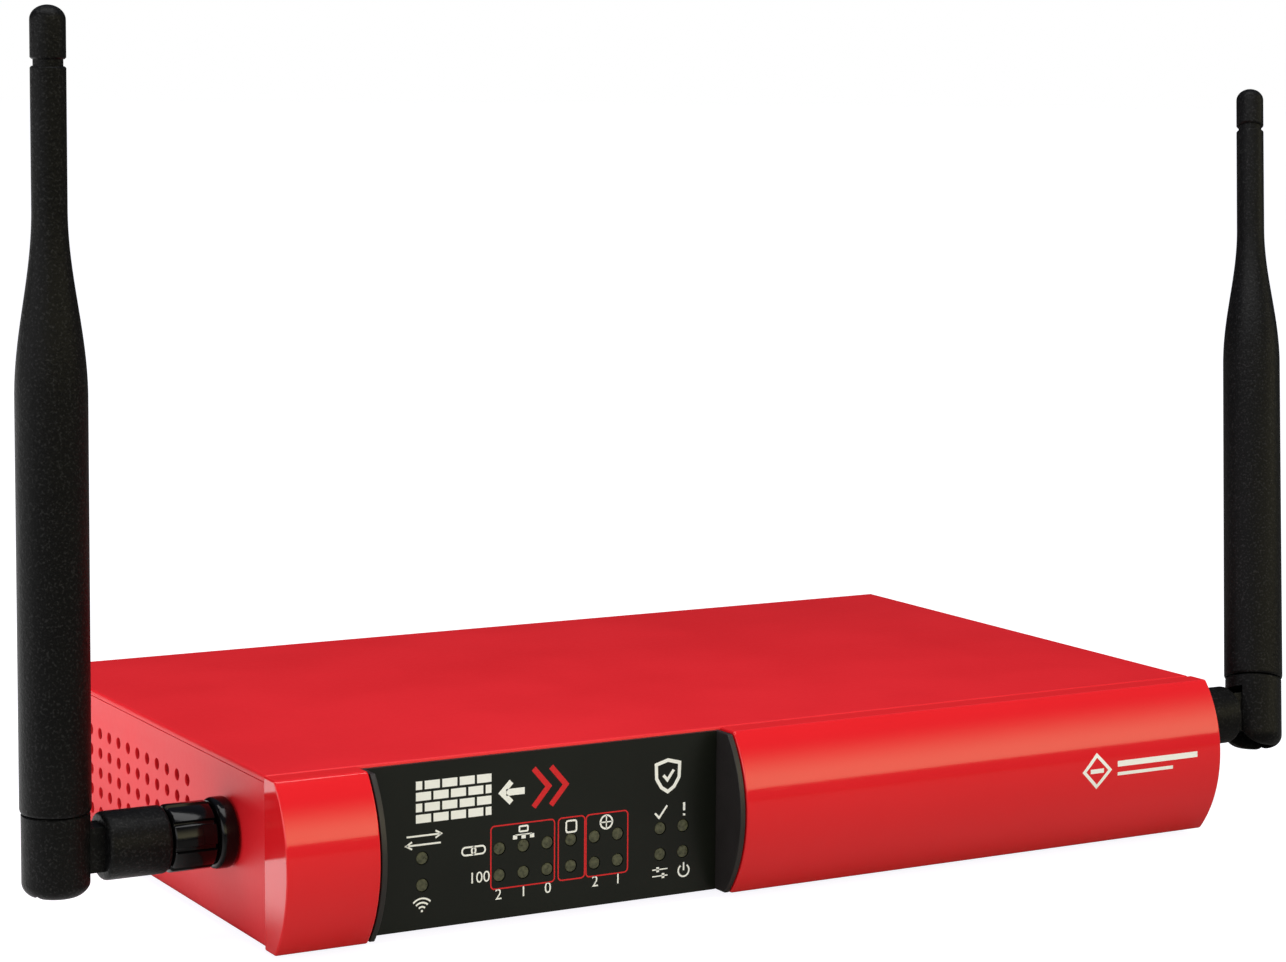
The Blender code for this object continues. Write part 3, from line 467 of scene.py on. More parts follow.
worn = matt_black.noise(0.006, 2)
matt_black.drive("Base Color", worn.mix((0.013, 0.011, 0.011), (0.024, 0.020, 0.020)))
matt_black.drive("Roughness", 0.38 + 0.12 * grain + 0.06 * worn)
matt_black.relief(grain, 0.00003)
settle(insert, matt_black, "chassis", "insert_black", "panel_insert", edge=0.00018, angle=40)


# Panel film: a sheet of satin black polyester stuck to the insert, clear over each lamp. Its signs are
# screen-printed in white and red: plain generic pictures, and numbers for the ports.

film_black = Finish("printed_film", {"Specular IOR Level": 0.3})
satin = film_black.noise(0.00012, 2)
sweep = film_black.noise(0.018, 2)
film_black.drive("Base Color", sweep.mix((0.0042, 0.0050, 0.0034), (0.0075, 0.0095, 0.0070)))
film_black.drive("Roughness", 0.24 + 0.08 * satin + 0.06 * sweep)
film_black.relief(satin, 0.000006)
shape = bmesh.new()
box(shape, film_low, film_high)
film = start("panel_overlay", shape)
windows = bmesh.new()
for x in LAMP_COLUMNS:
    for z in LAMP_ROWS:
        rod(windows, (x, film_low.y - 0.001, z), (x, film_high.y + 0.001, z), 0.0013, 32)
cut(film, windows)
settle(film, film_black, "chassis", "film_black", "panel_film")

INK = 0.00001
LINE = 0.00034


def on_film(x, z):
    return (x, film_low.y - INK, z)


def ribbon(shape, points, width, face, closed=False):
    """A line of ink through (x, z) points, with mitred corners, laid on a face."""
    points = [Vector(point) for point in points]
    fine = []
    for i in range(len(points) - (not closed)):
        begin, end = points[i], points[(i + 1) % len(points)]
        parts = max(1, round((end - begin).length / 0.0006))
        fine += [begin.lerp(end, part / parts) for part in range(parts)]
    if not closed:
        fine.append(points[-1])
    rails = []
    for i, point in enumerate(fine):
        ways = []
        if i or closed:
            ways.append((point - fine[i - 1]).normalized())
        if i < len(fine) - 1 or closed:
            ways.append((fine[(i + 1) % len(fine)] - point).normalized())
        way = (ways[0] + ways[-1]).normalized()
        side = Vector((-way.y, way.x))
        reach = width / 2 / max(0.4, way.dot(ways[0]))
        rails.append([shape.verts.new(face(*(point + side * sign * reach))) for sign in (1, -1)])
    for i in range(len(rails) - (not closed)):
        here, after = rails[i], rails[(i + 1) % len(rails)]
        shape.faces.new((here[0], here[1], after[1], after[0]))


def loop(x, z, radius, first=0, last=360, steps=24):
    """Points round a circle, without the last where the circle closes."""
    turns = steps if last - first == 360 else steps + 1
    angles = [math.radians(first + (last - first) * i / steps) for i in range(turns)]
    return [(x + radius * math.cos(a), z + radius * math.sin(a)) for a in angles]


def rounded(left, low, right, high, radius):
    """Points round a rectangle with round corners."""
    points = []
    for x, z, first in ((right, high, 0), (left, high, 90), (left, low, 180), (right, low, 270)):
        x -= math.copysign(radius, x - (left + right) / 2)
        z -= math.copysign(radius, z - (low + high) / 2)
        points += loop(x, z, radius, first, first + 90, 5)
    return points


def number(shape, text, x, z, height, face):
    """Plain figures centred on a point."""
    words = bpy.data.curves.new("figures", "FONT")
    words.body, words.size, words.align_x, words.align_y = text, height / 0.7, "CENTER", "CENTER"
    written = bpy.data.objects.new("figures", words)
    bpy.context.scene.collection.objects.link(written)
    solved = written.evaluated_get(bpy.context.evaluated_depsgraph_get())
    flat = bpy.data.meshes.new_from_object(solved)
    for vert in flat.vertices:
        vert.co = face(x + vert.co.x, z + vert.co.y)
    shape.from_mesh(flat)
    bpy.data.objects.remove(written)


white = bmesh.new()
# port numbers and the speed of the lower lamps
for text, x in (("2", -0.0595), ("1", -0.0542), ("0", -0.0490), ("2", -0.0388), ("1", -0.0338)):
    number(white, text, x, 0.00485, 0.0021, on_film)
number(white, "100", -0.0635, 0.0086, 0.0021, on_film)
# change-over: two arrows that pass each other
for z, way in ((0.0180, 1), (0.0163, -1)):
    x = -0.0750
    ribbon(white, [(x - way * 0.0035, z), (x + way * 0.0035, z)], LINE, on_film)
    head = [(x + way * 0.0024, z + 0.0007), (x + way * 0.0036, z), (x + way * 0.0024, z - 0.0007)]
    ribbon(white, head, LINE, on_film)
# wireless: a dot and three waves
for radius in (0.0009, 0.0017, 0.0025):
    ribbon(white, loop(-0.0754, 0.0036, radius, 45, 135, 8), LINE, on_film)
ribbon(white, [(-0.0756, 0.0037), (-0.0752, 0.0037)], 0.0004, on_film)
# link: two joined rings
for x in (-0.0657, -0.0637):
    ribbon(white, rounded(x - 0.0014, 0.0132, x + 0.0014, 0.0147, 0.0007), LINE, on_film, closed=True)
# local ports: one box over three; the optional port: a square; wide-area ports: a globe
ribbon(white, rounded(-0.0551, 0.0165, -0.0533, 0.0175, 0.0002), LINE, on_film, closed=True)
for x in (-0.0560, -0.0542, -0.0524):
    ribbon(white, [(x, 0.0159), (x, 0.0151)], 0.0009, on_film)
ribbon(white, [(-0.0560, 0.0159), (-0.0524, 0.0159)], LINE * 0.7, on_film)
ribbon(white, rounded(-0.0451, 0.0152, -0.0429, 0.0174, 0.0004), LINE, on_film, closed=True)
ribbon(white, loop(-0.0364, 0.0163, 0.0013), LINE, on_film, closed=True)
ribbon(white, [(-0.0377, 0.0163), (-0.0351, 0.0163)], LINE * 0.7, on_film)
ribbon(white, [(-0.0364, 0.0176), (-0.0364, 0.0150)], LINE * 0.7, on_film)
# state: a tick; attention: a bar over a dot
ribbon(white, [(-0.0257, 0.0168), (-0.0248, 0.0158), (-0.0230, 0.0181)], LINE * 1.2, on_film)
ribbon(white, [(-0.0192, 0.0183), (-0.0192, 0.0167)], 0.0005, on_film)
ribbon(white, [(-0.0192, 0.0161), (-0.0192, 0.0157)], 0.0005, on_film)
# mode: a slider; power: a broken ring and a bar
for z, x in ((0.0056, -0.0250), (0.0043, -0.0238)):
    ribbon(white, [(-0.0262, z), (-0.0228, z)], LINE * 0.7, on_film)
    ribbon(white, [(x, z + 0.0005), (x, z - 0.0005)], 0.0006, on_film)
ribbon(white, loop(-0.0192, 0.0048, 0.0012, 125, 415, 20), LINE, on_film)
ribbon(white, [(-0.0192, 0.0064), (-0.0192, 0.0048)], LINE, on_film)
# firewall: courses of bricks, and an arrow that stops at them
BRICK, COURSE = 0.0036, 0.0021
for course in range(4):
    z = 0.0212 + COURSE * course
    left = -0.0766 if course % 2 == 0 else -0.0766 - BRICK / 2
    for brick in range(5):
        ends = (max(-0.0766, left + BRICK * brick), min(-0.0610, left + BRICK * (brick + 1) - 0.0005))
        if ends[1] - ends[0] > 0.0008:
            ribbon(white, [(ends[0], z), (ends[1], z)], 0.0016, on_film)
ribbon(white, [(-0.0579, 0.0243), (-0.0540, 0.0243)], 0.0013, on_film)
ribbon(white, [(-0.0568, 0.0263), (-0.0588, 0.0243), (-0.0568, 0.0223)], 0.0011, on_film)
# security: a shield
SHIELD = [(-0.0026, 0.0024), (0, 0.0031), (0.0026, 0.0024), (0.0025, -0.0004), (0.0014, -0.0022)]
SHIELD += [(0, -0.0031), (-0.0014, -0.0022), (-0.0025, -0.0004)]
ribbon(white, [(-0.0229 + x, 0.0239 + z) for x, z in SHIELD], 0.0007, on_film, closed=True)
ribbon(white, [(-0.0239, 0.0241), (-0.0230, 0.0231), (-0.0216, 0.0250)], 0.0006, on_film)

white_ink = Finish("white_ink", {"Specular IOR Level": 0.3})
mottle = white_ink.noise(0.0004, 2)
white_ink.drive("Base Color", mottle.mix((0.92, 0.94, 0.97), (0.97, 0.98, 1.0)))
white_ink.drive("Roughness", 0.42 + 0.12 * mottle)
settle(start("panel_print_white", white), white_ink, "chassis", "film_black")

red = bmesh.new()
for left, right in ((-0.0611, -0.0476), (-0.0468, -0.0411), (-0.0408, -0.0317)):
    ribbon(red, rounded(left, 0.0060, right, 0.0181, 0.0008), 0.00026, on_film, closed=True)
for x in (-0.0505, -0.0468):
    ribbon(red, [(x - 0.0016, 0.0283), (x + 0.0016, 0.0246), (x - 0.0016, 0.0209)], 0.0011, on_film)
red_ink = Finish("red_ink", {"Specular IOR Level": 0.3})
mottle = red_ink.noise(0.0004, 2)
red_ink.drive("Base Color", mottle.mix((0.62, 0.012, 0.018), (0.72, 0.020, 0.026)))
red_ink.drive("Roughness", 0.42 + 0.12 * mottle)
settle(start("panel_print_red", red), red_ink, "chassis", "film_black")


# Bezel mark: a plain diamond and two bars, pad-printed in white on the moulding's right-hand end.


def on_arc(x, z):
    reach = BEZEL_RADIUS + INK
    return (x, ARC_Y - math.sqrt(reach**2 - (z - BEZEL_MID_Z) ** 2), z)


mark = bmesh.new()
diamond = [(0.0704, 0.0168), (0.0737, 0.0135), (0.0770, 0.0168), (0.0737, 0.0201)]
ribbon(mark, diamond, 0.0007, on_arc, closed=True)
ribbon(mark, [(0.0720, 0.0168), (0.0754, 0.0168)], 0.0009, on_arc)
ribbon(mark, [(0.0790, 0.0178), (0.1000, 0.0178)], 0.0012, on_arc)
ribbon(mark, [(0.0790, 0.0157), (0.0935, 0.0157)], 0.0007, on_arc)
settle(start("bezel_mark", mark), white_ink, "chassis", "red_plastic")


# Lamps: a smoky light guide behind the panel, with a pin to each window. Each pin's end is slightly domed
# and looks dull olive while its lamp is off.

smoky = Finish("smoky_light_guide", {"Specular IOR Level": 0.5, "Coat Weight": 0.3, "Coat Roughness": 0.12})
cloud = smoky.noise(0.0007, 2)
smoky.drive("Base Color", cloud.step(0.3, 0.7).mix((0.040, 0.042, 0.020), (0.085, 0.088, 0.048)))
smoky.drive("Roughness", 0.22 + 0.15 * cloud)
smoky.relief(cloud, 0.00003)
guide_low, guide_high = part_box("light_guide")


def turned(shape, profile, sides=48, place=None):
    """A closed profile of (radius, height) points turned about Z, or about the Z of a place."""
    place = place or Matrix.Identity(4)
    rings = []
    for radius, height in profile:
        count = sides if radius > 0 else 1
        angles = [2 * math.pi * i / count for i in range(count)]
        ring = [place @ Vector((radius * math.cos(a), radius * math.sin(a), height)) for a in angles]
        rings.append([shape.verts.new(point) for point in ring])
    faces = []
    for lower, upper in zip(rings, rings[1:] + rings[:1]):
        for i in range(sides if len(lower) + len(upper) > 2 else 0):
            ends = [lower[i % len(lower)], lower[(i + 1) % len(lower)]]
            ends += [upper[(i + 1) % len(upper)], upper[i % len(upper)]]
            faces.append(shape.faces.new(list(dict.fromkeys(ends))))
    bmesh.ops.recalc_face_normals(shape, faces=faces)


shape = bmesh.new()
box(shape, (guide_low.x, FRONT + 0.0023, 0.0055), (guide_high.x, guide_high.y, 0.0165))
toward_front = Matrix.Rotation(math.pi / 2, 4, "X")
length = FRONT + 0.003 - guide_low.y
pin = [(0, -0.0001), (0.0012, -0.0001), (0.0012, length - 0.0002), (0.00113, length - 0.00008)]
pin += [(0.0007, length - 0.00002), (0, length)]
for x in LAMP_COLUMNS:
    for z in LAMP_ROWS:
        place = Matrix.Translation((x, FRONT + 0.003, z)) @ toward_front
        turned(shape, pin, 32, place)
settle(start("lamp_guide", shape), smoky, "chassis", "clear_plastic", "light_guide")


# Board and what stands on it: a green glass-epoxy board with printed tracks, moulded chips, tinned shields,
# an extruded heat sink and two coaxial leads. It shows only through the vents.


def refinish(finish, *names):
    """Gives CAD nodes that keep their shape a finish of their own."""
    for name in names:
        for place in nodes[name].material_slots:
            place.material = finish.material


board_green = Finish("solder_mask", {"Specular IOR Level": 0.5, "Coat Weight": 0.4, "Coat Roughness": 0.1})
tracks = board_green.noise(0.0009, 0, (6, 1, 1)).step(0.52, 0.56)
pads = board_green.noise(0.0022, 0).step(0.68, 0.70)
mask = tracks.mix((0.010, 0.070, 0.024), (0.016, 0.120, 0.042))
board_green.drive("Base Color", pads.mix(mask, (0.55, 0.50, 0.38)))
board_green.drive("Metallic", pads * 0.8)
board_green.drive("Roughness", 0.30 + 0.10 * tracks)
board_green.relief(tracks + pads, 0.00003)
refinish(board_green, "main_board", "wireless_card")

epoxy = Finish("moulded_epoxy", {"Specular IOR Level": 0.4})
grit = epoxy.noise(0.00012, 2)
dusting = epoxy.noise(0.004, 2)
epoxy.drive("Base Color", dusting.mix((0.016, 0.016, 0.018), (0.030, 0.030, 0.031)))
epoxy.drive("Roughness", 0.5 + 0.2 * grit)
epoxy.relief(grit, 0.00002)
CHIPS = ["processor", "memory_chip", "flash_chip", "switch_chip", "magnetics_module", "card_socket"]
refinish(epoxy, *CHIPS, "capacitor_1", "capacitor_2", "reset_switch")

alloy = Finish("anodised_alloy", {"Metallic": 1.0})
drawn = alloy.noise(0.0003, 2, (1, 40, 1))
alloy.drive("Base Color", drawn.mix((0.42, 0.43, 0.45), (0.56, 0.57, 0.58)))
alloy.drive("Roughness", 0.34 + 0.14 * drawn)
alloy.relief(drawn, 0.00001)
refinish(alloy, "heat_sink")

jacket = Finish("coaxial_jacket", {"Specular IOR Level": 0.5})
gloss = jacket.noise(0.0015, 2)
jacket.drive("Base Color", gloss.mix((0.012, 0.012, 0.012), (0.024, 0.024, 0.024)))
jacket.drive("Roughness", 0.30 + 0.12 * gloss)
refinish(jacket, "left_pigtail", "right_pigtail")


# Network jacks: a folded, nickel-plated can slit at each side for its springs, and inside it a black
# moulding with the stepped socket and eight gold contacts.

plated = Finish("nickel_plate", {"Metallic": 1.0})
brushed = plated.noise(0.00012, 2, (1, 1, 30))
tarnish = plated.noise(0.005, 3)
plated.drive("Base Color", tarnish.step(0.35, 0.7).mix((0.66, 0.65, 0.62), (0.55, 0.54, 0.51)))
plated.drive("Roughness", 0.24 + 0.10 * brushed + 0.10 * tarnish)
plated.relief(brushed, 0.000008)
gold = Finish("gold_contact", {"Metallic": 1.0})
rub = gold.noise(0.0006, 2)
gold.drive("Base Color", rub.mix((0.83, 0.61, 0.25), (0.70, 0.48, 0.18)))
gold.drive("Roughness", 0.20 + 0.15 * rub)
refinish(plated, "card_shield")

CAN_WALL, SOCKET_DEPTH = 0.0004, 0.0125
for name in JACKS:
    low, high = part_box(name)
    middle, face = (low.x + high.x) / 2, high.y
    floor_z, shelf_z, roof_z = low.z + 0.0024, low.z + 0.0094, low.z + 0.0113
    shape = bmesh.new()
    box(shape, low, high)
    can = start(name.replace("network_jack", "jack_can"), shape)
    mouth = bmesh.new()
    rim_low, rim_high = (low.x + 0.0012, face - 0.016, low.z + 0.0012), (high.x - 0.0012, face + 0.001)
    box(mouth, rim_low, (*rim_high, high.z - 0.0008))
    cut(can, mouth)
    for side in (-1, 1):
        slot_cut = bmesh.new()
        for rise in (0.0042, 0.0088):
            x, z = middle + side * (high.x - low.x) / 2, low.z + rise
            box(slot_cut, (x - CAN_WALL, face - 0.0075, z), (x + CAN_WALL, face - 0.0028, z + 0.0003))
        cut(can, slot_cut)
    settle(can, plated, "chassis", "jack_can", name, edge=0.00012)

    shape = bmesh.new()
    inset = 0.00122
    core_low = (low.x + inset, face - 0.0159, low.z + inset)
    box(shape, core_low, (high.x - inset, face - 0.0004, high.z - 0.00082))
    core = start(name.replace("network_jack", "jack_core"), shape)
    plug, latch = 0.0059, 0.0032
    outline = [(-plug, floor_z), (plug, floor_z), (plug, shelf_z), (latch, shelf_z)]
    outline += [(latch, roof_z), (-latch, roof_z), (-latch, shelf_z), (-plug, shelf_z)]
    socket = bmesh.new()
    prism(socket, [(middle + x, z) for x, z in outline], "Y", face - SOCKET_DEPTH, face + 0.01)
    cut(core, socket)
    settle(core, matt_black, "chassis", "jack_can", edge=0.00012, angle=40)

    wires = bmesh.new()
    for contact in range(8):
        x = middle + (contact - 3.5) * 0.00102
        near, far = face - 0.0045, face - 0.0122
        rod(wires, (x, near, floor_z + 0.0002), (x, far, floor_z + 0.0031), 0.00017, 8)
    settle(start(name.replace("network_jack", "jack_contacts"), wires), gold, "chassis", "gold_brass")


# Serial port: a tinned flange held behind the wall, a drawn D-shaped shroud round a black insert, and nine
# gold pins. A hexagonal jackscrew with a threaded hole stands on either side.

port_low, port_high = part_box("serial_port")
shape = bmesh.new()
flange_back = REAR - SHEET - 0.0012
flange_low = (SERIAL_X - 0.0154, flange_back, SERIAL_Z - 0.0062)
box(shape, flange_low, (SERIAL_X + 0.0154, flange_back + 0.0008, SERIAL_Z + 0.0062))
shroud = start("serial_shroud", shape)
drawn_d = bmesh.new()
prism(drawn_d, d_outline(0), "Y", port_low.y, port_high.y)
cut(shroud, drawn_d, "UNION")
hollow = bmesh.new()
prism(hollow, d_outline(-0.00045), "Y", REAR - 0.006, REAR + 0.01)
for side in (-1, 1):
    x = SERIAL_X + side * JACKSCREW_X
    rod(hollow, (x, flange_back - 0.002, SERIAL_Z), (x, REAR, SERIAL_Z), 0.0017)
cut(shroud, hollow)
settle(shroud, plated, "chassis", "tin_plate", "serial_port", edge=0.00015)
shape = bmesh.new()
prism(shape, d_outline(-0.0005), "Y", REAR - 0.0059, REAR + 0.0002)
settle(start("serial_insert", shape), matt_black, "chassis", "tin_plate", edge=0.00012, angle=40)
pins = bmesh.new()
pin = [(0, 0), (0.0005, 0), (0.0005, 0.0042), (0.00038, 0.0047), (0.00018, 0.005), (0, 0.00508)]
toward_rear = Matrix.Rotation(-math.pi / 2, 4, "X")
for rise, count in ((0.0014, 5), (-0.0014, 4)):
    for i in range(count):
        x = SERIAL_X + (i - (count - 1) / 2) * 0.00277
        turned(pins, pin, 16, Matrix.Translation((x, REAR - 0.001, SERIAL_Z + rise)) @ toward_rear)
settle(start("serial_pins", pins), gold, "chassis", "gold_brass")

zinc = Finish("zinc_plate", {"Metallic": 1.0})
spangle = zinc.noise(0.0008, 3)
zinc.drive("Base Color", spangle.mix((0.55, 0.56, 0.57), (0.70, 0.70, 0.69)))
zinc.drive("Roughness", 0.22 + 0.18 * spangle)
zinc.relief(spangle, 0.000006)
for side, x in (("left", SERIAL_X - JACKSCREW_X), ("right", SERIAL_X + JACKSCREW_X)):
    low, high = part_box(f"jackscrew_{side}")
    shape = bmesh.new()
    rod(shape, (x, REAR + 0.0003, SERIAL_Z), (x, high.y, SERIAL_Z), 0.0026, 6)
    screw = start(f"hex_jackscrew_{side}", shape)
    hole = bmesh.new()
    rod(hole, (x, REAR + 0.0009, SERIAL_Z), (x, REAR + 0.01, SERIAL_Z), 0.0013)
    cut(screw, hole)
    shank = bmesh.new()
    rod(shank, (x, low.y, SERIAL_Z), (x, REAR + 0.0006, SERIAL_Z), 0.0013)
    cut(screw, shank, "UNION")
    settle(screw, zinc, "chassis", "zinc_steel", f"jackscrew_{side}", edge=0.00018)


# Power inlet: a black moulded block with a round socket, a plated spring at its top and a centre pin. Only
# the socket's mouth shows in the rear wall.

inlet_low, inlet_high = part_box("power_jack")
POWER_X, POWER_Z = 0.090, 0.0131
shape = bmesh.new()
box(shape, inlet_low, inlet_high)
inlet = start("inlet_block", shape)
bore = bmesh.new()
rod(bore, (POWER_X, inlet_high.y - 0.0095, POWER_Z), (POWER_X, inlet_high.y + 0.01, POWER_Z), 0.0032, 40)
cut(inlet, bore)
settle(inlet, matt_black, "chassis", "component_black", "power_jack", edge=0.0003, steps=3, angle=40)
shape = bmesh.new()
back = inlet_high.y - 0.0105
pin = [(0, 0), (0.001, 0), (0.001, 0.0088), (0.0007, 0.0094), (0.0003, 0.0096), (0, 0.00965)]
turned(shape, pin, 24, Matrix.Translation((POWER_X, back, POWER_Z)) @ toward_rear)
settle(start("inlet_pin", shape), plated, "chassis", "tin_plate")
shape = bmesh.new()
spring_low = (POWER_X - 0.0009, back + 0.0012, POWER_Z + 0.0029)
box(shape, spring_low, (POWER_X + 0.0009, back + 0.0085, POWER_Z + 0.0032))
settle(start("inlet_spring", shape), plated, "chassis", "tin_plate", edge=0.0001)


# Reset button: the pale plunger of the switch on the board. It stands just inside its hole in the rear wall
# and is pressed with a pin.

pale_plastic = Finish("pale_moulded_plastic", {"Specular IOR Level": 0.45})
handled = pale_plastic.noise(0.0006, 2)
pale_plastic.drive("Base Color", handled.mix((0.62, 0.61, 0.58), (0.70, 0.70, 0.67)))
pale_plastic.drive("Roughness", 0.36 + 0.14 * handled)
button_low, button_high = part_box("reset_button")
length = button_high.y - button_low.y
shape = bmesh.new()
stem = [(0, 0), (0.0013, 0), (0.0013, length - 0.0005), (0.0011, length - 0.0002)]
stem += [(0.0007, length - 0.00005), (0, length)]
turned(shape, stem, 32, Matrix.Translation((RESET_X, button_low.y, RESET_Z)) @ toward_rear)
settle(start("reset_plunger", shape), pale_plastic, "reset_button", "pale_plastic", "reset_button")


# Screws: zinc-plated pan heads with a cross recess. Two hold the lid at the rear and four hold the board to
# the tray's bosses.


def pan_screw(name, node, place, head, radius, length, shank):
    """A screw whose head stands up from the place along its Z, with its shank below."""
    shape = bmesh.new()
    profile = [(0, -length), (shank, -length), (shank, 0), (radius, 0), (radius, head * 0.35)]
    for part in (0.3, 0.6, 0.85):
        angle = math.radians(90 * part)
        profile.append((radius * (0.45 + 0.55 * math.cos(angle)), head * (0.35 + 0.65 * math.sin(angle))))
    turned(shape, [*profile, (radius * 0.4, head), (0, head)], 40)
    screw = start(name, shape)
    recess = bmesh.new()
    half, width = radius * 0.52, radius * 0.1
    box(recess, (-half, -width, head * 0.35), (half, width, head * 2))
    box(recess, (-width, -half, head * 0.34), (width, half, head * 2.1))
    cut(screw, recess)
    settle(screw, zinc, "chassis", "zinc_steel", node, angle=35, place=place)


SHANK_RADIUS = 0.0012
for side, x in (("left", -LID_SCREW_X), ("right", LID_SCREW_X)):
    place = Matrix.Translation((x, REAR + 0.00005, LID_SCREW_Z)) @ toward_rear
    pan_screw(f"lid_pan_screw_{side}", f"lid_screw_{side}", place, 0.00155, 0.0028, 0.005, SHANK_RADIUS)
UNDER_HEAD = 0.00665
for screw_number in range(1, 5):
    node = f"board_screw_{screw_number}"
    low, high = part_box(node)
    place = Matrix.Translation(((low.x + high.x) / 2, (low.y + high.y) / 2, UNDER_HEAD))
    head, length = high.z - UNDER_HEAD, UNDER_HEAD - low.z
    pan_screw(f"board_pan_screw_{screw_number}", node, place, head, 0.0026, length, SHANK_RADIUS)


# Rating label: a blank silver polyester plate stuck under the case, brushed along its length and rubbed dull
# in patches.

label_silver = Finish("silver_polyester", {"Specular IOR Level": 0.5})
brushed = label_silver.noise(0.00025, 2, (40, 1, 1))
rubbed = label_silver.noise(0.012, 3)
label_silver.drive("Base Color", brushed.mix((0.52, 0.53, 0.54), (0.66, 0.67, 0.68)))
label_silver.drive("Metallic", 0.75 - 0.3 * rubbed)
label_silver.drive("Roughness", 0.28 + 0.14 * brushed + 0.12 * rubbed)
label_silver.relief(brushed, 0.000004)
refinish(label_silver, "rating_label")


# Feet: four moulded discs of soft black rubber with a rounded rim and a shallow dish, stuck to the tray's
# floor with their own adhesive.

foot_rubber = Finish("soft_rubber", {"Specular IOR Level": 0.3})
bloom = foot_rubber.noise(0.003, 3)
tooth = foot_rubber.noise(0.0003, 2)
foot_rubber.drive("Base Color", bloom.mix((0.018, 0.018, 0.018), (0.040, 0.039, 0.038)))
foot_rubber.drive("Roughness", 0.70 + 0.15 * tooth)
foot_rubber.relief(tooth, 0.00004)
for foot in range(1, 5):
    low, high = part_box(f"foot_{foot}")
    radius, height = (high.x - low.x) / 2, high.z - low.z
    profile = [(0, 0.0003), (radius * 0.6, 0.0003), (radius * 0.72, 0), (radius * 0.88, 0)]
    profile += [(radius * 0.93, 0.00012), (radius, 0.0006), (radius, height), (0, height)]
    shape = bmesh.new()
    turned(shape, profile, 48)
    place = Matrix.Translation(((low.x + high.x) / 2, (low.y + high.y) / 2, low.z))
    pad = start(f"rubber_foot_{foot}", shape)
    settle(pad, foot_rubber, "chassis", "foot_rubber", f"foot_{foot}", place=place)


# Antennas: one on each side. A threaded brass connector stands in the wall with a glossy lock collar round
# it, and the fluted coupling nut draws the knuckle onto it. The mast folds on a pin through the knuckle's
# tongue, and its grained black skin runs up over a stiff rod to a thin neck with a domed cap.

glossy_black = Finish("polished_black_nut", {"Specular IOR Level": 0.2})
smear = glossy_black.noise(0.003, 3)
glossy_black.drive("Base Color", smear.mix((0.0012, 0.0012, 0.0014), (0.0030, 0.0030, 0.0033)))
glossy_black.drive("Roughness", 0.10 + 0.10 * smear)
glossy_black.relief(glossy_black.noise(0.0008, 2), 0.00001)

skin = Finish("grained_black_skin", {"Specular IOR Level": 0.09})
grain = skin.noise(0.00042, 3)
pores = skin.noise(0.0011, 2).step(0.45, 0.75)
flecks = skin.noise(0.00045, 2).step(0.5, 0.75)
handled = skin.noise(0.012, 2)
worn_skin = handled.mix((0.0022, 0.0022, 0.0024), (0.0046, 0.0046, 0.0048))
skin.drive("Base Color", flecks.mix(worn_skin, (0.018, 0.018, 0.019)))
skin.drive("Roughness", 0.34 + 0.14 * grain + 0.06 * handled)
skin.relief(grain + 0.6 * pores, 0.00006)

brass = Finish("gold_plated_brass", {"Metallic": 1.0})
lathe = brass.noise(0.00015, 2, (1, 20, 20))
brass.drive("Base Color", lathe.mix((0.72, 0.52, 0.20), (0.84, 0.65, 0.30)))
brass.drive("Roughness", 0.22 + 0.15 * lathe)
brass.relief(lathe, 0.00001)
refinish(brass, "left_panel_connector", "right_panel_connector")

PIVOT_REACH, SHOULDER = 0.0333, 0.0082
COLLAR_RADIUS, NUT_RADIUS, BARREL_RADIUS, THREAD_HOLE = 0.0067, 0.0063, 0.0063, 0.0034
FLUTES, FLUTE_DEPTH, NUT_POINTS = 8, 0.0006, 160
PIN_RADIUS, PIN_HOLE, PIN_HALF = 0.0011, 0.0014, 0.0052
SLEEVE_RADIUS, SLEEVE_TOP, FOOT_CORNER = 0.0062, 0.0072, 0.0026
MAST_RADIUS, NECK_RADIUS, FLARE_LOW, FLARE_LENGTH = 0.00645, 0.00315, 0.082, 0.0335
along_x = Matrix.Rotation(math.pi / 2, 4, "Y")


def rim(radius, low, high, round_off, steps=4):
    """Profile points up a cylinder's side, with both of its ends rounded off."""
    points = []
    for centre, first in ((low + round_off, -90), (high - round_off, 0)):
        for i in range(steps + 1):
            angle = math.radians(first + 90 * i / steps)
            out, rise = round_off * math.cos(angle), round_off * math.sin(angle)
            points.append((radius - round_off + out, centre + rise))
    return points


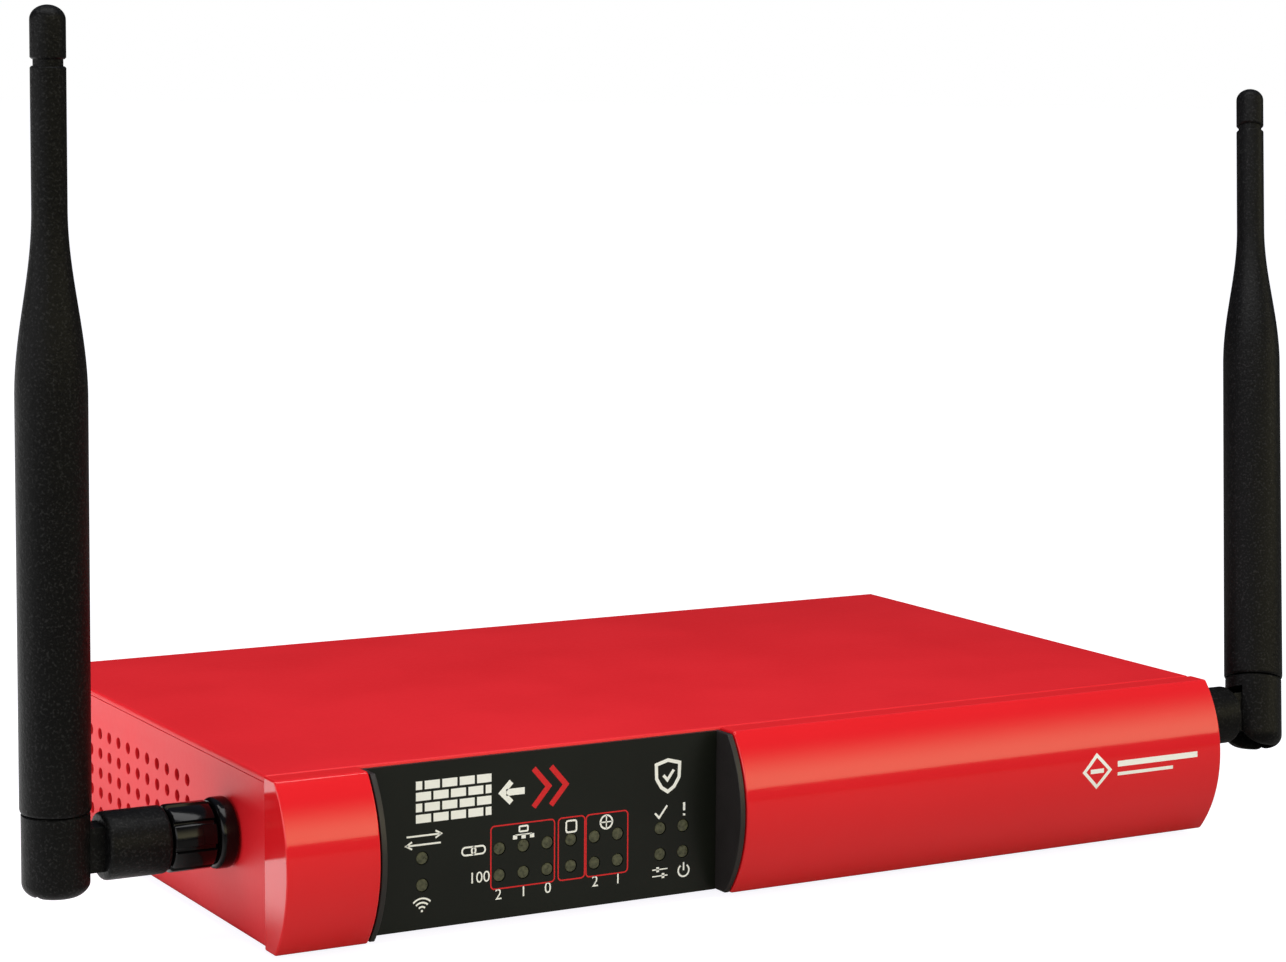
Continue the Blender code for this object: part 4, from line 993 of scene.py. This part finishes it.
for side, sign, swivel, lean in (("left", -1, -1.0, 0.0), ("right", 1, -19.9, 13.7)):
    facing = Matrix.Rotation(0 if sign > 0 else math.pi, 4, "Z")
    base = Matrix.Translation((sign * RIGHT, AERIAL_Y, AERIAL_Z)) @ facing
    swung = base @ Matrix.Rotation(math.radians(swivel), 4, "X")
    pivot = swung @ Matrix.Translation((PIVOT_REACH, 0, 0))
    standing = pivot @ Matrix.Rotation(math.radians(lean), 4, "Y")

    shape = bmesh.new()
    low, high = 0.0003, 0.0039
    profile = [*rim(COLLAR_RADIUS, low, high, 0.0009), (THREAD_HOLE, high), (THREAD_HOLE, low)]
    turned(shape, profile, 64, along_x)
    collar = start(f"{side}_collar", shape)
    settle(collar, glossy_black, "chassis", "nut_black", f"{side}_lock_collar", place=base)

    shape = bmesh.new()
    rings = []
    low, high = 0.0043, 0.0127
    sections = [(low, 0.0005), (low + 0.00015, 0.0002), (low + 0.0005, 0), (high - 0.0005, 0)]
    sections += [(high - 0.00015, 0.0002), (high, 0.0005), (high, None), (low, None)]
    for reach, drop in sections:
        ring = []
        for i in range(NUT_POINTS):
            part = (i / NUT_POINTS * FLUTES) % 1
            groove = FLUTE_DEPTH * min(1, 2.2 * max(0.0, 1 - abs(part - 0.775) / 0.125))
            radius = THREAD_HOLE if drop is None else NUT_RADIUS - drop - groove
            angle = 2 * math.pi * i / NUT_POINTS
            ring.append(shape.verts.new((reach, radius * math.cos(angle), radius * math.sin(angle))))
        rings.append(ring)
    for lower, upper in zip(rings, rings[1:] + rings[:1]):
        for i in range(NUT_POINTS):
            shape.faces.new((lower[i - 1], lower[i], upper[i], upper[i - 1]))
    bmesh.ops.recalc_face_normals(shape, faces=shape.faces[:])
    nut = start(f"{side}_fluted_nut", shape)
    settle(nut, glossy_black, f"{side}_nut", "nut_black", f"{side}_coupling_nut", place=base, angle=40)

    low, high = 0.013, PIVOT_REACH - SHOULDER
    shape = bmesh.new()
    profile = [(0, 0.0083), (0.0028, 0.0083), (0.0028, low)]
    profile += [*rim(BARREL_RADIUS, low, high, 0.0009), (0, high)]
    turned(shape, profile, 64, along_x)
    barrel = start(f"{side}_barrel", shape)
    tongue = bmesh.new()
    outline = [(x + PIVOT_REACH, z) for x, z in loop(0, 0, 0.0042, -90, 90, 24)]
    prism(tongue, [*outline, (high - 0.002, 0.0042), (high - 0.002, -0.0042)], "Y", -0.0027, 0.0027)
    cut(barrel, tongue, "UNION")
    hole = bmesh.new()
    rod(hole, (PIVOT_REACH, -0.01, 0), (PIVOT_REACH, 0.01, 0), PIN_HOLE)
    cut(barrel, hole)
    body, slot = f"{side}_knuckle", "antenna_black"
    settle(barrel, skin, body, slot, f"{side}_knuckle", place=swung, edge=0.00015, angle=40)
    shape = bmesh.new()
    profile = [(0, -PIN_HALF), *rim(PIN_RADIUS, -PIN_HALF, PIN_HALF, 0.0003), (0, PIN_HALF)]
    turned(shape, profile, 32, toward_front)
    settle(start(f"{side}_pin", shape), glossy_black, body, slot, f"{side}_hinge_pin", place=pivot)

    body, spigot_top, reach = f"{side}_mast", SLEEVE_TOP + 0.004, SHOULDER - 0.0002
    shape = bmesh.new()
    corner = (SLEEVE_RADIUS - FOOT_CORNER, FOOT_CORNER - reach, FOOT_CORNER)
    profile = [(0, -reach), *loop(*corner, 270, 360, 12)]
    profile += [(SLEEVE_RADIUS, SLEEVE_TOP - 0.0002), (SLEEVE_RADIUS - 0.0002, SLEEVE_TOP)]
    profile += [(0.004, SLEEVE_TOP), (0.004, spigot_top), (0, spigot_top)]
    turned(shape, profile, 64)
    sleeve = start(f"{side}_fork", shape)
    foot = bmesh.new()
    outline = [(0.01, 0.02), (-0.01, 0.02), (-0.01, 0), *loop(0, 0, reach, 200, 265, 20)]
    prism(foot, [*outline, (0, -0.01), (0.01, -0.01)], "Y", -0.01, 0.01)
    cut(sleeve, foot, "INTERSECT")
    slot_cut = bmesh.new()
    box(slot_cut, (-0.02, -0.003, -0.02), (0.0046, 0.003, 0.0046))
    rod(slot_cut, (0, -PIN_HALF - 0.0003, 0), (0, PIN_HALF + 0.0003, 0), PIN_HOLE)
    cut(sleeve, slot_cut)
    settle(sleeve, skin, body, slot, f"{side}_mast_sleeve", place=standing, edge=0.00025, angle=40)

    low, bore_top = SLEEVE_TOP + 0.0003, SLEEVE_TOP + 0.0045
    profile = [(0, bore_top), (0.0043, bore_top), (0.0043, low), (SLEEVE_RADIUS, low)]
    profile += [(MAST_RADIUS - 0.0001, low + 0.0002), (MAST_RADIUS, low + 0.0006)]
    for i in range(41):
        part = i / 40
        radius = MAST_RADIUS + (NECK_RADIUS - MAST_RADIUS) * (1 - math.cos(math.pi * part)) / 2
        profile.append((radius, FLARE_LOW + FLARE_LENGTH * part))
    profile += [(NECK_RADIUS, 0.1400), (NECK_RADIUS - 0.0003, 0.1403)]
    profile += [(0.00265, 0.1403), (0.00265, 0.1445), (0, 0.1445)]
    shape = bmesh.new()
    turned(shape, profile, 72)
    mast = start(f"{side}_mast_skin", shape)
    settle(mast, skin, body, slot, f"{side}_mast", place=standing, angle=35)

    profile = [(0, 0.1449), (0.00275, 0.1449), (0.00275, 0.1415)]
    profile += [(NECK_RADIUS - 0.0003, 0.1415), (NECK_RADIUS, 0.1418)]
    for i in range(11):
        angle = math.radians(9 * i)
        profile.append((NECK_RADIUS * math.cos(angle) if i < 10 else 0, 0.1483 + 0.0026 * math.sin(angle)))
    shape = bmesh.new()
    turned(shape, profile, 64)
    cap = start(f"{side}_dome_cap", shape)
    settle(cap, skin, body, slot, f"{side}_tip_cap", place=standing, angle=40)
